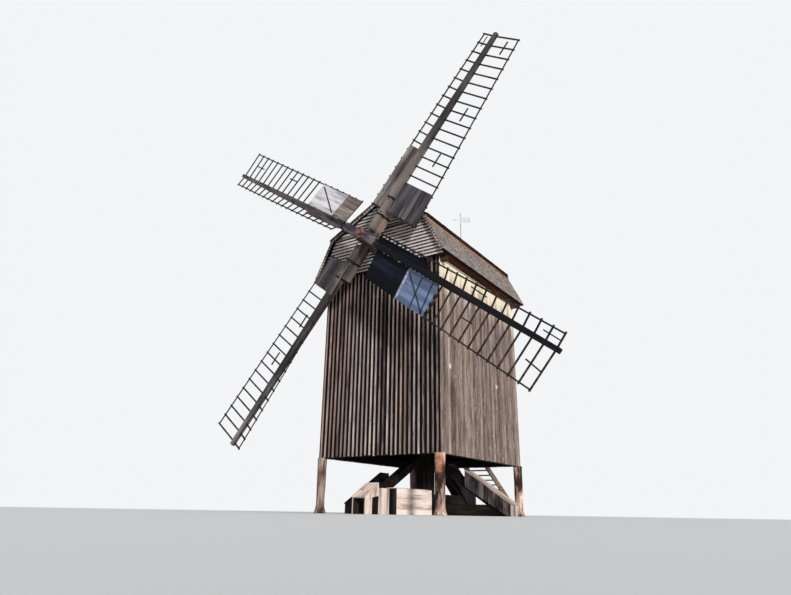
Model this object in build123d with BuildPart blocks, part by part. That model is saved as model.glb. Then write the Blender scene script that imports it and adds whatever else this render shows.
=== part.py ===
"""A wooden post mill: a boarded body on a trestle, propped on logs, with four lattice sails.

Millimetres, +Z up. The origin is on the ground under the main post, the sails face -Y.
"""
from build123d import *
from math import cos, sin, radians, tan
import os

os.makedirs("parts", exist_ok=True)

# Body
body_width = 5600.0
body_length = 7100.0
body_bottom = 2100.0
wall_top = 9700.0
wall_thickness = 60.0
batten_width = 70.0
batten_proud = 50.0
batten_pitch = 200.0
sill_depth = 300.0
sill_width = 240.0
floor_rise = 1050.0
floor_boards = 50.0
post_hole = 40.0
joist_depth = 250.0
joist_width = 200.0
joist_pitch = 1300.0

# Rear door and stair
door_width = 1000.0
door_height = 1900.0
door_thickness = 50.0
stair_width = 1200.0
stair_angle = 31.45
stair_risers = 15
tread_thickness = 45.0
tread_depth = 300.0
stringer_thickness = 70.0
stringer_depth = 260.0

# Roof: two slopes on each side, closed by upright gables
eave_overhang = 430.0
eave_rise = 30.0
knee_inset = 400.0
knee_rise = 1700.0
ridge_rise = 1240.0
roof_thickness = 90.0
upper_overhang = 110.0
verge_overhang = 430.0
gable_overhang = 250.0
gable_thickness = 60.0
gable_skirt = 60.0
soffit_thickness = 40.0
ledge_depth = 90.0
ledge_thickness = 40.0
ridge_cap_width = 260.0
ridge_cap_height = 90.0
ridge_cap_edge = 30.0
bracket_size = 200.0
bracket_reach = 300.0
bracket_inset = 150.0

# Windshaft
hub_overhang = 1150.0
hub_rise = 990.0
shaft_tilt = 5.0
shaft_radius = 260.0
shaft_tail_radius = 150.0
shaft_past_middle = 1300.0
shaft_neck_past_wall = 1150.0
poll_width = 560.0
poll_length = 900.0
gable_hole_clearance = 60.0
bearing_clearance = 0.3
bearing_length = 300.0
bearing_cheek = 150.0
beam_depth = 300.0
beam_width = 360.0
neck_bearing_past_wall = 200.0
tail_bearing_inset = 300.0

# Sails
sail_angle = -35.9
sail_droop = 1.3
sail_radius = 10050.0
last_bar_inset = 145.0
stock_width = 340.0
stock_depth = 300.0
stock_half_length = 2000.0
stock_pitch = 330.0
whip_root_width = 300.0
whip_root_depth = 260.0
whip_tip_width = 170.0
whip_tip_depth = 150.0
whip_straight = 2250.0
cheek_half_length = 940.0
front_whip_start = 946.0
rear_whip_start = 400.0
nose_radius = 190.0
nose_length = 110.0
bar_pitch = 443.0
bar_width = 60.0
bar_thickness = 36.0
lath_width = 55.0
lath_thickness = 28.0
bars_per_lath = 5
first_bar = 1350.0
narrow_reach = 530.0
bar_stub = 70.0
wide_weather_root = 12.0
wide_weather_tip = 1.0
narrow_weather_root = 42.0
narrow_weather_tip = 8.0
cleat_length = 620.0
cleat_width = 50.0
cleat_thickness = 40.0
board_thickness = 22.0
board_seat = 1.5
board_gap = 16.0
board_corner_clearance = 2.0
board_overhang = 25.0
leading_board_reach = {"right": 430.0, "left": 360.0, "top": 555.0, "bottom": 450.0}
band_width = 70.0
band_thickness = 14.0
band_places = (1130.0, 1960.0)

# Each sail: its angle from the level, its wide side's reach at the root and at the tip
sail_shapes = {
    "right": (sail_angle - sail_droop, 1380.0, 1450.0),
    "left": (sail_angle + 180 + sail_droop, 1330.0, 1360.0),
    "top": (sail_angle + 90, 1700.0, 1270.0),
    "bottom": (sail_angle - 90, 1500.0, 1400.0),
}
# Where each sail's fixed boards, loose shutter and leading boards begin and end along the arm
sail_panels = {
    "right": ((1250.0, 2980.0), (3000.0, 4850.0), (1250.0, 4080.0)),
    "left": ((1250.0, 2230.0), (2250.0, 4090.0), (1250.0, 3650.0)),
    "top": ((1400.0, 2800.0), None, (1400.0, 4260.0)),
    "bottom": ((1400.0, 2750.0), None, (1400.0, 2750.0)),
}
# The short cleats that hold the loose shutters: how far out along the arm and across it each lies
sail_cleats = {
    "right": ((6550.0, 700.0),),
    "left": ((6180.0, 900.0),),
    "top": ((4150.0, 900.0), (6300.0, 860.0), (9450.0, 800.0)),
    "bottom": ((4290.0, 560.0), (6250.0, 720.0)),
}

# Trestle
crosstree_width = 420.0
crosstree_depth = 420.0
lower_crosstree_half = 3900.0
upper_crosstree_half = 4000.0
post_diameter = 760.0
post_in_body = 3100.0
crown_depth = 560.0
crown_width = 560.0
quarterbar_size = 300.0
quarterbar_foot_inset = 500.0
quarterbar_in_body = 350.0
pier_length = 640.0
pier_width = 500.0

# Casings over the trestle's ends
casing_board = 40.0
casing_width = 640.0
casing_slope = 33.5
casing_lid_inner = 2050.0
casing_lid_clearance = 50.0
casing_toe = 120.0
casing_side_depth = 620.0
front_box_left = 240.0
front_box_right = 580.0
front_box_top = 930.0
front_box_cover = 1000.0
front_box_to_post = 70.0
front_hood_slope = 28.8
front_hood_toe_width = 580.0
front_hood_toe_length = 550.0
front_hood_toe_top = 590.0
front_hood_toe_gap = 130.0
front_hood_step = 30.0
front_hood_lap = 40.0
front_hood_cover = 300.0
front_hood_side_foot = 560.0
front_hood_side_rise = 80.0

# Log props
prop_radius = 170.0
prop_top_radius = 180.0
prop_foot_radius = 250.0
prop_inset = 90.0
prop_foot_height = 260.0
prop_sides = 12

# Weather vane
vane_overhang = 230.0
vane_heading = 34.0
vane_rod_radius = 14.0
vane_rod_height = 2920.0
vane_collar_rise = 2260.0
vane_collar_radius = 30.0
vane_collar_height = 25.0
vane_clearance = 0.3
vane_sleeve_wall = 9.0
vane_sleeve_length = 480.0
vane_flag_length = 520.0
vane_flag_height = 300.0
vane_flag_thickness = 8.0
vane_arm_radius = 8.0
vane_arm_length = 330.0
vane_ball_radius = 45.0
vane_ball_rings = 6

# Places that follow from these sizes
half_width = body_width / 2
half_length = body_length / 2
floor_level = body_bottom + floor_rise
post_top = body_bottom + post_in_body
quarterbar_top = body_bottom + quarterbar_in_body
eave_x = half_width + eave_overhang
knee_x = half_width - knee_inset
eave_z = wall_top + eave_rise
knee_z = wall_top + knee_rise
ridge_z = knee_z + ridge_rise
verge_y = half_length + verge_overhang
gable_y = half_length + gable_overhang
gable_foot = wall_top - gable_skirt
hub_y = -half_length - hub_overhang
hub_z = wall_top + hub_rise
shaft_length = hub_overhang + half_length + shaft_past_middle
shaft_neck_length = hub_overhang + shaft_neck_past_wall
neck_bearing_from_hub = hub_overhang + neck_bearing_past_wall
last_bar = sail_radius - last_bar_inset
front_hood_toe = -upper_crosstree_half - front_hood_toe_length
front_hood_toe_back = -upper_crosstree_half - front_hood_toe_gap
front_hood_upper = front_hood_toe_back - front_hood_lap
front_hood_back = front_hood_cover - upper_crosstree_half
front_box_from = front_box_cover - upper_crosstree_half
front_box_to = -post_diameter / 2 - front_box_to_post
vane_y = half_length + vane_overhang
vane_rod_top = ridge_z + vane_rod_height
vane_collar_z = ridge_z + vane_collar_rise


def save(name, builder):
    builder.part.label = name
    export_step(builder.part, f"parts/{name}.step")


def slab(x0, x1, y0, y1, z0, z1, mode=Mode.ADD):
    """A plain timber or plate between two corners."""
    with Locations(((x0 + x1) / 2, (y0 + y1) / 2, (z0 + z1) / 2)):
        Box(x1 - x0, y1 - y0, z1 - z0, mode=mode)


# Trestle: two crosstrees, the lower one on the ground, with the post standing where they cross
lower_top = crosstree_depth
upper_top = lower_top + crosstree_depth
with BuildPart() as crosstree_lower:
    slab(-lower_crosstree_half, lower_crosstree_half, -crosstree_width / 2, crosstree_width / 2, 0, lower_top)
save("crosstree_lower", crosstree_lower)

with BuildPart() as crosstree_upper:
    slab(-crosstree_width / 2, crosstree_width / 2, -upper_crosstree_half, upper_crosstree_half,
         lower_top, upper_top)
save("crosstree_upper", crosstree_upper)

with BuildPart() as piers:
    for sign in (-1, 1):
        with Locations((0, sign * (upper_crosstree_half - pier_length / 2), lower_top / 2)):
            Box(pier_width, pier_length, lower_top)
save("piers", piers)

with BuildPart() as main_post:
    with BuildSketch(Plane.XY.offset(upper_top)):
        RegularPolygon(post_diameter / 2, 8, major_radius=False, rotation=22.5)
    extrude(amount=post_top - upper_top)
save("main_post", main_post)

with BuildPart() as crown_tree:
    inner_half = half_width - wall_thickness
    slab(-inner_half, inner_half, -crown_width / 2, crown_width / 2, post_top, post_top + crown_depth)
save("crown_tree", crown_tree)

# Quarterbars: raking struts from the crosstrees' ends up to the post
with BuildPart() as quarterbars:
    for turn, half, foot_z in (
        (0, lower_crosstree_half, lower_top), (180, lower_crosstree_half, lower_top),
        (90, upper_crosstree_half, upper_top), (-90, upper_crosstree_half, upper_top),
    ):
        quarterbar_foot = half - quarterbar_foot_inset
        rake = (quarterbar_top - foot_z) / (quarterbar_foot - post_diameter / 2)
        rise = quarterbar_size * (1 + rake * rake) ** 0.5
        with BuildSketch(Plane.XZ.rotated((0, 0, turn)).offset(-quarterbar_size / 2)):
            with BuildLine():
                Polyline(
                    (quarterbar_foot, foot_z),
                    (quarterbar_foot - rise / rake, foot_z),
                    (post_diameter / 2, quarterbar_top - rise),
                    (post_diameter / 2, quarterbar_top),
                    close=True,
                )
            make_face()
        extrude(amount=quarterbar_size)
save("quarterbars", quarterbars)

# Casings: boarded boxes that keep the rain off the raking struts
lid_slope = tan(radians(casing_slope))
lid_rise = casing_board * (1 + lid_slope * lid_slope) ** 0.5
with BuildPart() as casings:
    for turn, half, foot_z in (
        (0, lower_crosstree_half, lower_top), (180, lower_crosstree_half, lower_top),
        (90, upper_crosstree_half, upper_top),
    ):
        outer = half + casing_board
        lid_inner_z = foot_z + casing_lid_clearance + (half - casing_lid_inner) * lid_slope
        lid_outer_z = lid_inner_z - (outer - casing_lid_inner) * lid_slope
        side_plane = Plane.XZ.rotated((0, 0, turn))
        with BuildSketch(side_plane.offset(-casing_width / 2)):
            with BuildLine():
                Polyline(
                    (casing_lid_inner, lid_inner_z),
                    (outer, lid_outer_z),
                    (outer, 0),
                    (outer - casing_toe, 0),
                    (casing_lid_inner, lid_inner_z - casing_side_depth),
                    close=True,
                )
            make_face()
        extrude(amount=casing_width)
        with BuildSketch(side_plane.offset(-casing_width / 2 + casing_board)):
            with BuildLine():
                Polyline(
                    (casing_lid_inner - 1, lid_inner_z - lid_rise + lid_slope),
                    (half, lid_outer_z + casing_board * lid_slope - lid_rise),
                    (half, -1),
                    (casing_lid_inner - 1, -1),
                    close=True,
                )
            make_face()
        extrude(amount=casing_width - 2 * casing_board, mode=Mode.SUBTRACT)
save("casings", casings)

with BuildPart() as casing_front_box:
    slab(-front_box_left, front_box_right, front_box_from, front_box_to, 0, front_box_top)
    slab(-crosstree_width / 2, front_box_right - casing_board, front_box_from + casing_board,
         front_box_to + 1, -1, front_box_top - casing_board, Mode.SUBTRACT)
    add(crosstree_upper.part, mode=Mode.SUBTRACT)
    add(quarterbars.part, mode=Mode.SUBTRACT)
save("casing_front_box", casing_front_box)

# The front casing's toe stands open on the ground; its upper length is nailed to the crosstree's sides
hood_slope = tan(radians(front_hood_slope))
hood_rise = casing_board * (1 + hood_slope * hood_slope) ** 0.5


def hood_lid(y):
    """The height of the toe's lid over a place along the crosstree."""
    return front_hood_toe_top + (y - front_hood_toe) * hood_slope


def hood_prism(points, half, mode=Mode.ADD):
    """A side view, as y and z, carried across the hood."""
    with BuildSketch(Plane.YZ.offset(-half)) as side_view:
        with BuildLine():
            Polyline(*points, close=True)
        make_face()
    extrude(side_view.sketch, amount=2 * half, mode=mode)


with BuildPart() as casing_front:
    toe_half = front_hood_toe_width / 2
    hood_prism(
        ((front_hood_toe, 0), (front_hood_toe, hood_lid(front_hood_toe)),
         (front_hood_toe_back, hood_lid(front_hood_toe_back)), (front_hood_toe_back, 0)),
        toe_half,
    )
    hood_prism(
        ((front_hood_toe - 1, -1), (front_hood_toe - 1, hood_lid(front_hood_toe - 1) - hood_rise),
         (front_hood_toe_back + 1, hood_lid(front_hood_toe_back + 1) - hood_rise),
         (front_hood_toe_back + 1, -1)),
        toe_half - casing_board, Mode.SUBTRACT,
    )
    step_top = hood_lid(front_hood_upper) + front_hood_step
    back_top = hood_lid(front_hood_back) + front_hood_step
    hood_prism(
        ((front_hood_upper, front_hood_side_foot), (front_hood_upper, step_top),
         (front_hood_back, back_top), (front_hood_back, front_hood_side_foot + front_hood_side_rise)),
        crosstree_width / 2 + casing_board,
    )
    hood_prism(
        ((front_hood_toe_back, 0),
         (front_hood_toe_back, hood_lid(front_hood_toe_back) + front_hood_step - hood_rise),
         (front_hood_back + 1, back_top - hood_rise + hood_slope), (front_hood_back + 1, 0)),
        crosstree_width / 2, Mode.SUBTRACT,
    )
save("casing_front", casing_front)

# Log props under the body's corners, each flared at its foot
with BuildPart() as props:
    for sx in (-1, 1):
        for sy in (-1, 1):
            middle = (sx * (half_width - prop_inset), sy * (half_length - prop_inset))
            for stages in (
                ((0, prop_foot_radius), (prop_foot_height, prop_radius)),
                ((prop_foot_height, prop_radius), (body_bottom, prop_top_radius)),
            ):
                for height, radius in stages:
                    with BuildSketch(Plane.XY.offset(height)):
                        with Locations(middle):
                            RegularPolygon(radius, prop_sides)
                loft(ruled=True)
save("props", props)

# Body: sills, floor and boarded walls
inner_x = half_width - wall_thickness
inner_y = half_length - wall_thickness
with BuildPart() as sills:
    slab(-inner_x, inner_x, -inner_y, inner_y, body_bottom, body_bottom + sill_depth)
    slab(-inner_x + sill_width, inner_x - sill_width, -inner_y + sill_width, inner_y - sill_width,
         body_bottom - 1, body_bottom + sill_depth + 1, Mode.SUBTRACT)
save("sills", sills)

joist_rows = int((2 * inner_y - joist_width) // joist_pitch) + 1
with BuildPart() as joists:
    for row in range(joist_rows):
        middle = (row - (joist_rows - 1) / 2) * joist_pitch
        if abs(middle) > (post_diameter + joist_width) / 2:
            slab(-inner_x, inner_x, middle - joist_width / 2, middle + joist_width / 2,
                 floor_level - floor_boards - joist_depth, floor_level - floor_boards)
save("joists", joists)

with BuildPart() as floor:
    slab(-inner_x, inner_x, -inner_y, inner_y, floor_level - floor_boards, floor_level)
    with Locations((0, 0, floor_level - floor_boards / 2)):
        Box(post_diameter + post_hole, post_diameter + post_hole, floor_boards + 2, mode=Mode.SUBTRACT)
save("floor", floor)

with BuildPart() as front_wall:
    slab(-half_width, half_width, -half_length, -inner_y, body_bottom, wall_top)
save("front_wall", front_wall)

batten_count = int((body_width - batten_width) // batten_pitch) + 1
with BuildPart() as front_battens:
    with BuildSketch(Plane.XY.offset(body_bottom)):
        with Locations((0, -half_length - batten_proud / 2)):
            with GridLocations(batten_pitch, 1, batten_count, 1):
                Rectangle(batten_width, batten_proud)
    extrude(amount=gable_foot - body_bottom)
save("front_battens", front_battens)

with BuildPart() as side_walls:
    for sign in (-1, 1):
        near, far = sorted((sign * inner_x, sign * half_width))
        slab(near, far, -inner_y, inner_y, body_bottom, wall_top)
save("side_walls", side_walls)

with BuildPart() as rear_wall:
    slab(-half_width, half_width, inner_y, half_length, body_bottom, wall_top)
    slab(-door_width / 2, door_width / 2, inner_y - 1, half_length + 1,
         floor_level, floor_level + door_height, Mode.SUBTRACT)
save("rear_wall", rear_wall)

with BuildPart() as rear_door:
    slab(-door_width / 2, door_width / 2, inner_y, inner_y + door_thickness,
         floor_level, floor_level + door_height)
save("rear_door", rear_door)

# Rear stair: two plank stringers with open treads between them
stair_slope = tan(radians(stair_angle))
stair_run = floor_level / stair_slope
stringer_rise = stringer_depth * (1 + stair_slope * stair_slope) ** 0.5
with BuildPart() as stair_stringers:
    for sign in (-1, 1):
        near = sign * stair_width / 2 - (stringer_thickness if sign > 0 else 0)
        with BuildSketch(Plane.YZ.offset(near)):
            with BuildLine():
                Polyline(
                    (half_length, floor_level),
                    (half_length + stair_run, 0),
                    (half_length + stair_run - stringer_rise / stair_slope, 0),
                    (half_length, floor_level - stringer_rise),
                    close=True,
                )
            make_face()
        extrude(amount=stringer_thickness)
save("stair_stringers", stair_stringers)

riser = floor_level / stair_risers
going = riser / stair_slope
with BuildPart() as stair_treads:
    tread_half = stair_width / 2 - stringer_thickness
    for step in range(1, stair_risers):
        top = floor_level - step * riser
        nose = half_length + step * going
        slab(-tread_half, tread_half, nose - tread_depth, nose, top - tread_thickness, top)
save("stair_treads", stair_treads)

# Roof: steep lower slopes, flatter upper slopes, upright gables at both ends
lower_run = Vector(knee_x - eave_x, knee_z - eave_z)
lower_side = Vector(lower_run.Y, -lower_run.X) / lower_run.length
with BuildPart() as roof_lower:
    for sign in (-1, 1):
        outside = [(eave_x, eave_z), (knee_x, knee_z)]
        inside = [
            (x - lower_side.X * roof_thickness, z - lower_side.Y * roof_thickness)
            for x, z in reversed(outside)
        ]
        with BuildSketch(Plane.XZ.offset(-verge_y)):
            with BuildLine():
                Polyline(*[(sign * x, z) for x, z in outside + inside], close=True)
            make_face()
        extrude(amount=2 * verge_y)
save("roof_lower", roof_lower)

upper_slope_ratio = (ridge_z - knee_z) / knee_x
upper_rise = roof_thickness * (1 + upper_slope_ratio * upper_slope_ratio) ** 0.5
upper_x = knee_x + upper_overhang
upper_z = knee_z - upper_overhang * upper_slope_ratio
for name, sign in (("left", -1), ("right", 1)):
    with BuildPart() as roof_upper:
        with BuildSketch(Plane.XZ.offset(-verge_y)):
            with BuildLine():
                Polyline(
                    (0, ridge_z),
                    (sign * upper_x, upper_z),
                    (sign * upper_x, upper_z + upper_rise),
                    (0, ridge_z + upper_rise),
                    close=True,
                )
            make_face()
        extrude(amount=2 * verge_y)
    save(f"roof_upper_{name}", roof_upper)

with BuildPart() as ridge_cap:
    with BuildSketch(Plane.XZ.offset(-verge_y)):
        with BuildLine():
            drop = ridge_cap_width / 2 * upper_slope_ratio
            top = ridge_z + upper_rise
            Polyline(
                (0, top),
                (ridge_cap_width / 2, top - drop),
                (ridge_cap_width / 2, top - drop + ridge_cap_edge),
                (0, top + ridge_cap_height),
                (-ridge_cap_width / 2, top - drop + ridge_cap_edge),
                (-ridge_cap_width / 2, top - drop),
                close=True,
            )
        make_face()
    extrude(amount=2 * verge_y)
    with BuildSketch(Plane.XY.offset(top - drop)):
        with Locations((0, vane_y)):
            Circle(vane_rod_radius)
    extrude(amount=drop + ridge_cap_height, mode=Mode.SUBTRACT)
save("ridge_cap", ridge_cap)

shaft_back = Vector(0, cos(radians(shaft_tilt)), -sin(radians(shaft_tilt)))
hub = Vector(0, hub_y, hub_z)
shaft_plane = Plane(origin=hub, x_dir=(1, 0, 0), z_dir=shaft_back)

foot_in = (gable_foot - eave_z) / (knee_z - eave_z) * (knee_x - eave_x)
in_lower = roof_thickness / lower_side.X
for name, sign in (("front", -1), ("rear", 1)):
    near, far = sorted((sign * gable_y, sign * (gable_y - gable_thickness)))
    with BuildPart() as gable:
        with BuildSketch(Plane.XZ.offset(-far)):
            with BuildLine():
                low_x = eave_x + foot_in - in_lower
                mid_x = knee_x - in_lower
                Polyline(
                    (-low_x, gable_foot), (low_x, gable_foot), (mid_x, knee_z),
                    (0, knee_z + mid_x * upper_slope_ratio), (-mid_x, knee_z), close=True,
                )
            make_face()
        extrude(amount=gable_thickness)
        if sign < 0:
            with BuildSketch(shaft_plane):
                Circle(shaft_radius + gable_hole_clearance)
            extrude(amount=shaft_neck_length, mode=Mode.SUBTRACT)
    save(f"{name}_gable", gable)

with BuildPart() as gable_ledge:
    ledge_half = knee_x - in_lower
    slab(-ledge_half, ledge_half, -gable_y - ledge_depth, -gable_y, knee_z - ledge_thickness, knee_z)
save("gable_ledge", gable_ledge)

# A soffit closes the eaves from below; brackets carry them at the body's corners
with BuildPart() as soffit:
    soffit_bottom = wall_top - soffit_thickness
    soffit_x = eave_x - in_lower
    soffit_y = gable_y - gable_thickness
    slab(-soffit_x, soffit_x, -soffit_y, soffit_y, soffit_bottom, wall_top)
    slab(-half_width, half_width, -half_length, half_length, soffit_bottom - 1, wall_top + 1, Mode.SUBTRACT)
save("soffit", soffit)

with BuildPart() as eave_brackets:
    for sx in (-1, 1):
        for sy in (-1, 1):
            near, far = sorted((sx * half_width, sx * (half_width + bracket_reach)))
            middle = sy * (half_length - bracket_inset)
            slab(near, far, middle - bracket_size / 2, middle + bracket_size / 2,
                 soffit_bottom - bracket_size, soffit_bottom)
save("eave_brackets", eave_brackets)

# Windshaft: an inclined round shaft with a square head that the two stocks pass through
shaft_front = -stock_depth / 2
neck_start = poll_length + shaft_front


def along_shaft(distance):
    """The point on the shaft's axis a distance behind the front stock's middle."""
    return hub + shaft_back * distance


def arm_plane(angle, depth):
    """A plane across one arm: x to its wide side, y to the mill, z out along the arm."""
    tilt = radians(shaft_tilt)
    right = Vector(1, 0, 0)
    up = Vector(0, sin(tilt), cos(tilt))
    out = right * cos(radians(angle)) + up * sin(radians(angle))
    wide = right * sin(radians(angle)) - up * cos(radians(angle))
    return Plane(origin=hub + shaft_back * depth, x_dir=wide, z_dir=out)


with BuildPart() as windshaft:
    stock_direction = arm_plane(sail_angle, 0).z_dir
    with BuildSketch(Plane(origin=along_shaft(shaft_front), x_dir=stock_direction, z_dir=shaft_back)):
        Rectangle(poll_width, poll_width)
    extrude(amount=poll_length)
    with BuildSketch(Plane(origin=along_shaft(neck_start), x_dir=(1, 0, 0), z_dir=shaft_back)):
        RegularPolygon(shaft_radius, 32)
    extrude(amount=shaft_neck_length - neck_start)
    with BuildSketch(Plane(origin=along_shaft(shaft_neck_length), x_dir=(1, 0, 0), z_dir=shaft_back)):
        RegularPolygon(shaft_tail_radius, 32)
    extrude(amount=shaft_length - shaft_neck_length)
    for turn, depth in ((0, 0), (90, stock_pitch)):
        plane = arm_plane(sail_angle + turn, depth)
        with BuildSketch(plane.offset(-poll_width)):
            Rectangle(stock_width, stock_depth)
        extrude(amount=2 * poll_width, mode=Mode.SUBTRACT)
save("windshaft", windshaft)

# Beams across the body carry the shaft in two half-round blocks
with BuildPart() as shaft_beams:
    for distance in (neck_bearing_from_hub, shaft_length - tail_bearing_inset):
        point = along_shaft(distance)
        slab(-half_width, half_width, point.Y - beam_width / 2, point.Y + beam_width / 2,
             wall_top, wall_top + beam_depth)
save("shaft_beams", shaft_beams)

with BuildPart() as shaft_bearings:
    for distance, radius in (
        (neck_bearing_from_hub, shaft_radius), (shaft_length - tail_bearing_inset, shaft_tail_radius)
    ):
        point = along_shaft(distance)
        slab(-radius - bearing_cheek, radius + bearing_cheek,
             point.Y - bearing_length / 2, point.Y + bearing_length / 2,
             wall_top + beam_depth, point.Z)
    with BuildSketch(Plane(origin=along_shaft(0), x_dir=(1, 0, 0), z_dir=shaft_back)):
        Circle(shaft_radius + bearing_clearance)
    extrude(amount=shaft_neck_length, mode=Mode.SUBTRACT)
    with BuildSketch(Plane(origin=along_shaft(0), x_dir=(1, 0, 0), z_dir=shaft_back)):
        Circle(shaft_tail_radius + bearing_clearance)
    extrude(amount=shaft_length, mode=Mode.SUBTRACT)
save("shaft_bearings", shaft_bearings)

# Stocks and whips
for name, turn, depth in (("front", 0, 0), ("rear", 90, stock_pitch)):
    with BuildPart() as stock:
        with BuildSketch(arm_plane(sail_angle + turn, depth).offset(-stock_half_length)):
            Rectangle(stock_width, stock_depth)
        extrude(amount=2 * stock_half_length)
    save(f"stock_{name}", stock)

with BuildPart() as stock_cheek:
    with BuildSketch(arm_plane(sail_angle, 0).offset(-cheek_half_length)):
        with Locations((0, -(stock_depth + whip_root_depth) / 2)):
            Rectangle(stock_width, whip_root_depth)
    extrude(amount=2 * cheek_half_length)
save("stock_cheek", stock_cheek)

with BuildPart() as nose:
    nose_foot = along_shaft(-stock_depth / 2 - whip_root_depth)
    nose_plane = Plane(origin=nose_foot, x_dir=(1, 0, 0), z_dir=-shaft_back)
    with BuildSketch(nose_plane):
        RegularPolygon(nose_radius, 24)
    extrude(amount=nose_length)
    chamfer(nose.faces().sort_by(Axis(hub, -shaft_back))[-1].edges(), nose_length * 0.45)
save("nose", nose)


# Iron bands bind each whip to its stock
with BuildPart() as sail_bands:
    whole_depth = stock_depth + whip_root_depth
    for turn in range(4):
        arm = arm_plane(sail_angle + 90 * turn, stock_pitch * (turn % 2))
        for place in band_places:
            drooped = (place + band_width) * sin(radians(sail_droop)) * (1 - turn % 2)
            inside = max(stock_width, whip_root_width + 2 * drooped)
            with BuildSketch(arm.offset(place - band_width / 2)):
                with Locations((0, -whip_root_depth / 2)):
                    Rectangle(inside + 2 * band_thickness, whole_depth + 2 * band_thickness)
                    Rectangle(inside, whole_depth, mode=Mode.SUBTRACT)
            extrude(amount=band_width)
save("sail_bands", sail_bands)


def share_along(r):
    """How far along the lattice a bar stands, from 0 at its root to 1 at its tip."""
    return (r - first_bar) / (last_bar - first_bar)


def between(root, tip, r):
    return root + (tip - root) * share_along(r)


def whip_size(r):
    """The whip is parallel where it lies on the stock, and tapers from there to its tip."""
    share = max(0.0, (r - whip_straight) / (sail_radius - whip_straight))
    return (
        whip_root_width + (whip_tip_width - whip_root_width) * share,
        whip_root_depth + (whip_tip_depth - whip_root_depth) * share,
    )


def beam(start, along, front, length, width, thickness):
    """A straight bar that starts with its middle at a point and has one face to the front."""
    plane = Plane(origin=start, x_dir=along, z_dir=front)
    corner = plane.from_local_coords((0, -width / 2, -thickness / 2))
    return Solid.make_box(length, width, thickness, Plane(origin=corner, x_dir=along, z_dir=front))


bar_count = round((last_bar - first_bar) / bar_pitch) + 1
bar_places = [first_bar + n * (last_bar - first_bar) / (bar_count - 1) for n in range(bar_count)]
whip_solids = []
panel_solids = {"sail_boards": [], "sail_shutters": [], "leading_boards": []}
for name, (angle, root_reach, tip_reach) in sail_shapes.items():
    fixed_boards, shutter, leading_boards = sail_panels[name]
    on_rear_stock = name in ("top", "bottom")
    arm = arm_plane(angle, stock_pitch if on_rear_stock else 0)
    whip_start = rear_whip_start if on_rear_stock else front_whip_start

    def whip_middle(r):
        """Rear whips keep a straight front face, front whips a straight back face."""
        depth = whip_size(r)[1]
        if on_rear_stock:
            return depth / 2 - stock_depth / 2 - whip_root_depth
        return -depth / 2 - stock_depth / 2

    def sail_chord(r, side):
        """The whip's middle at r, the direction out along a bar there, and the front it faces."""
        if side > 0:
            turn = radians(between(wide_weather_root, wide_weather_tip, r))
        else:
            turn = radians(between(narrow_weather_root, narrow_weather_tip, r))
        along = (arm.x_dir * cos(turn) + arm.y_dir * sin(turn)) * side
        front = arm.x_dir * sin(turn) - arm.y_dir * cos(turn)
        return arm.origin + arm.z_dir * r + arm.y_dir * whip_middle(r), along, front

    def bar_reach(r, side):
        return between(root_reach, tip_reach, r) if side > 0 else narrow_reach

    with BuildPart() as whip:
        with BuildSketch(arm.offset(whip_start)):
            with Locations((0, whip_middle(whip_start))):
                Rectangle(*whip_size(whip_start))
        extrude(amount=whip_straight - whip_start)
        for r in (whip_straight, sail_radius):
            with BuildSketch(arm.offset(r)):
                with Locations((0, whip_middle(r))):
                    Rectangle(*whip_size(r))
        loft(ruled=True)
    whip_solids.append(whip.part)

    # The lattice: bars let into the whip, and laths along their ends that follow their twist
    timbers = {1: [], -1: []}
    for side, pieces in timbers.items():
        for r in bar_places:
            middle, along, front = sail_chord(r, side)
            pieces.append(beam(middle, along, front, bar_reach(r, side) + bar_stub, bar_width, bar_thickness))
        lath_places = bar_places[::bars_per_lath] + bar_places[-1:]
        for inner_r, outer_r in zip(lath_places, lath_places[1:]):
            middle, along, front = sail_chord(inner_r, side)
            start = middle + along * bar_reach(inner_r, side)
            middle, along, _ = sail_chord(outer_r, side)
            run = middle + along * bar_reach(outer_r, side) - start
            facing = front - run * (front.dot(run) / run.dot(run))
            pieces.append(
                beam(start, run.normalized(), facing.normalized(), run.length, lath_width, lath_thickness)
            )
    for r, reach in sail_cleats[name]:
        middle, along, front = sail_chord(r, 1)
        start = middle + along * reach - arm.z_dir * cleat_length / 2
        timbers[1].append(beam(start, arm.z_dir, front, cleat_length, cleat_width, cleat_thickness))
    with BuildPart() as lattice:
        add(timbers[1] + timbers[-1])
        add(whip.part, mode=Mode.SUBTRACT)
    save(f"lattice_{name}", lattice)

    # Boards lie on the front of the bars, beside the whip, each notched over the bars. The steep side's
    # leading boards pass in front of the whip's corner.
    for ends, side, kind in (
        (fixed_boards, 1, "sail_boards"), (shutter, 1, "sail_shutters"),
        (leading_boards, -1, "leading_boards"),
    ):
        if ends:
            with BuildPart() as panel:
                for r in [ends[0]] + [r for r in bar_places if ends[0] < r < ends[1]] + [ends[1]]:
                    middle, along, front = sail_chord(r, side)
                    square = -front.dot(arm.y_dir)
                    lean = abs(along.dot(arm.y_dir))
                    width, depth = whip_size(r)
                    rest = bar_thickness / 2 - board_seat
                    if side > 0:
                        near = (width / 2 + board_gap + (rest + board_thickness) * lean) / square
                        far = bar_reach(r, side) + board_overhang
                    else:
                        corner = depth / 2 * square - width / 2 * lean
                        rest = max(rest, corner + board_corner_clearance)
                        near = (width / 2 + rest * lean) / square
                        far = leading_board_reach[name]
                    centre = middle + along * (near + far) / 2 + front * (rest + board_thickness / 2)
                    with BuildSketch(Plane(origin=centre, x_dir=along, z_dir=along.cross(front) * side)):
                        Rectangle(far - near, board_thickness)
                loft(ruled=True)
                add(timbers[side], mode=Mode.SUBTRACT)
                add(whip.part, mode=Mode.SUBTRACT)
                add(sail_bands.part, mode=Mode.SUBTRACT)
            panel_solids[kind].append(panel.part)

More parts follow.
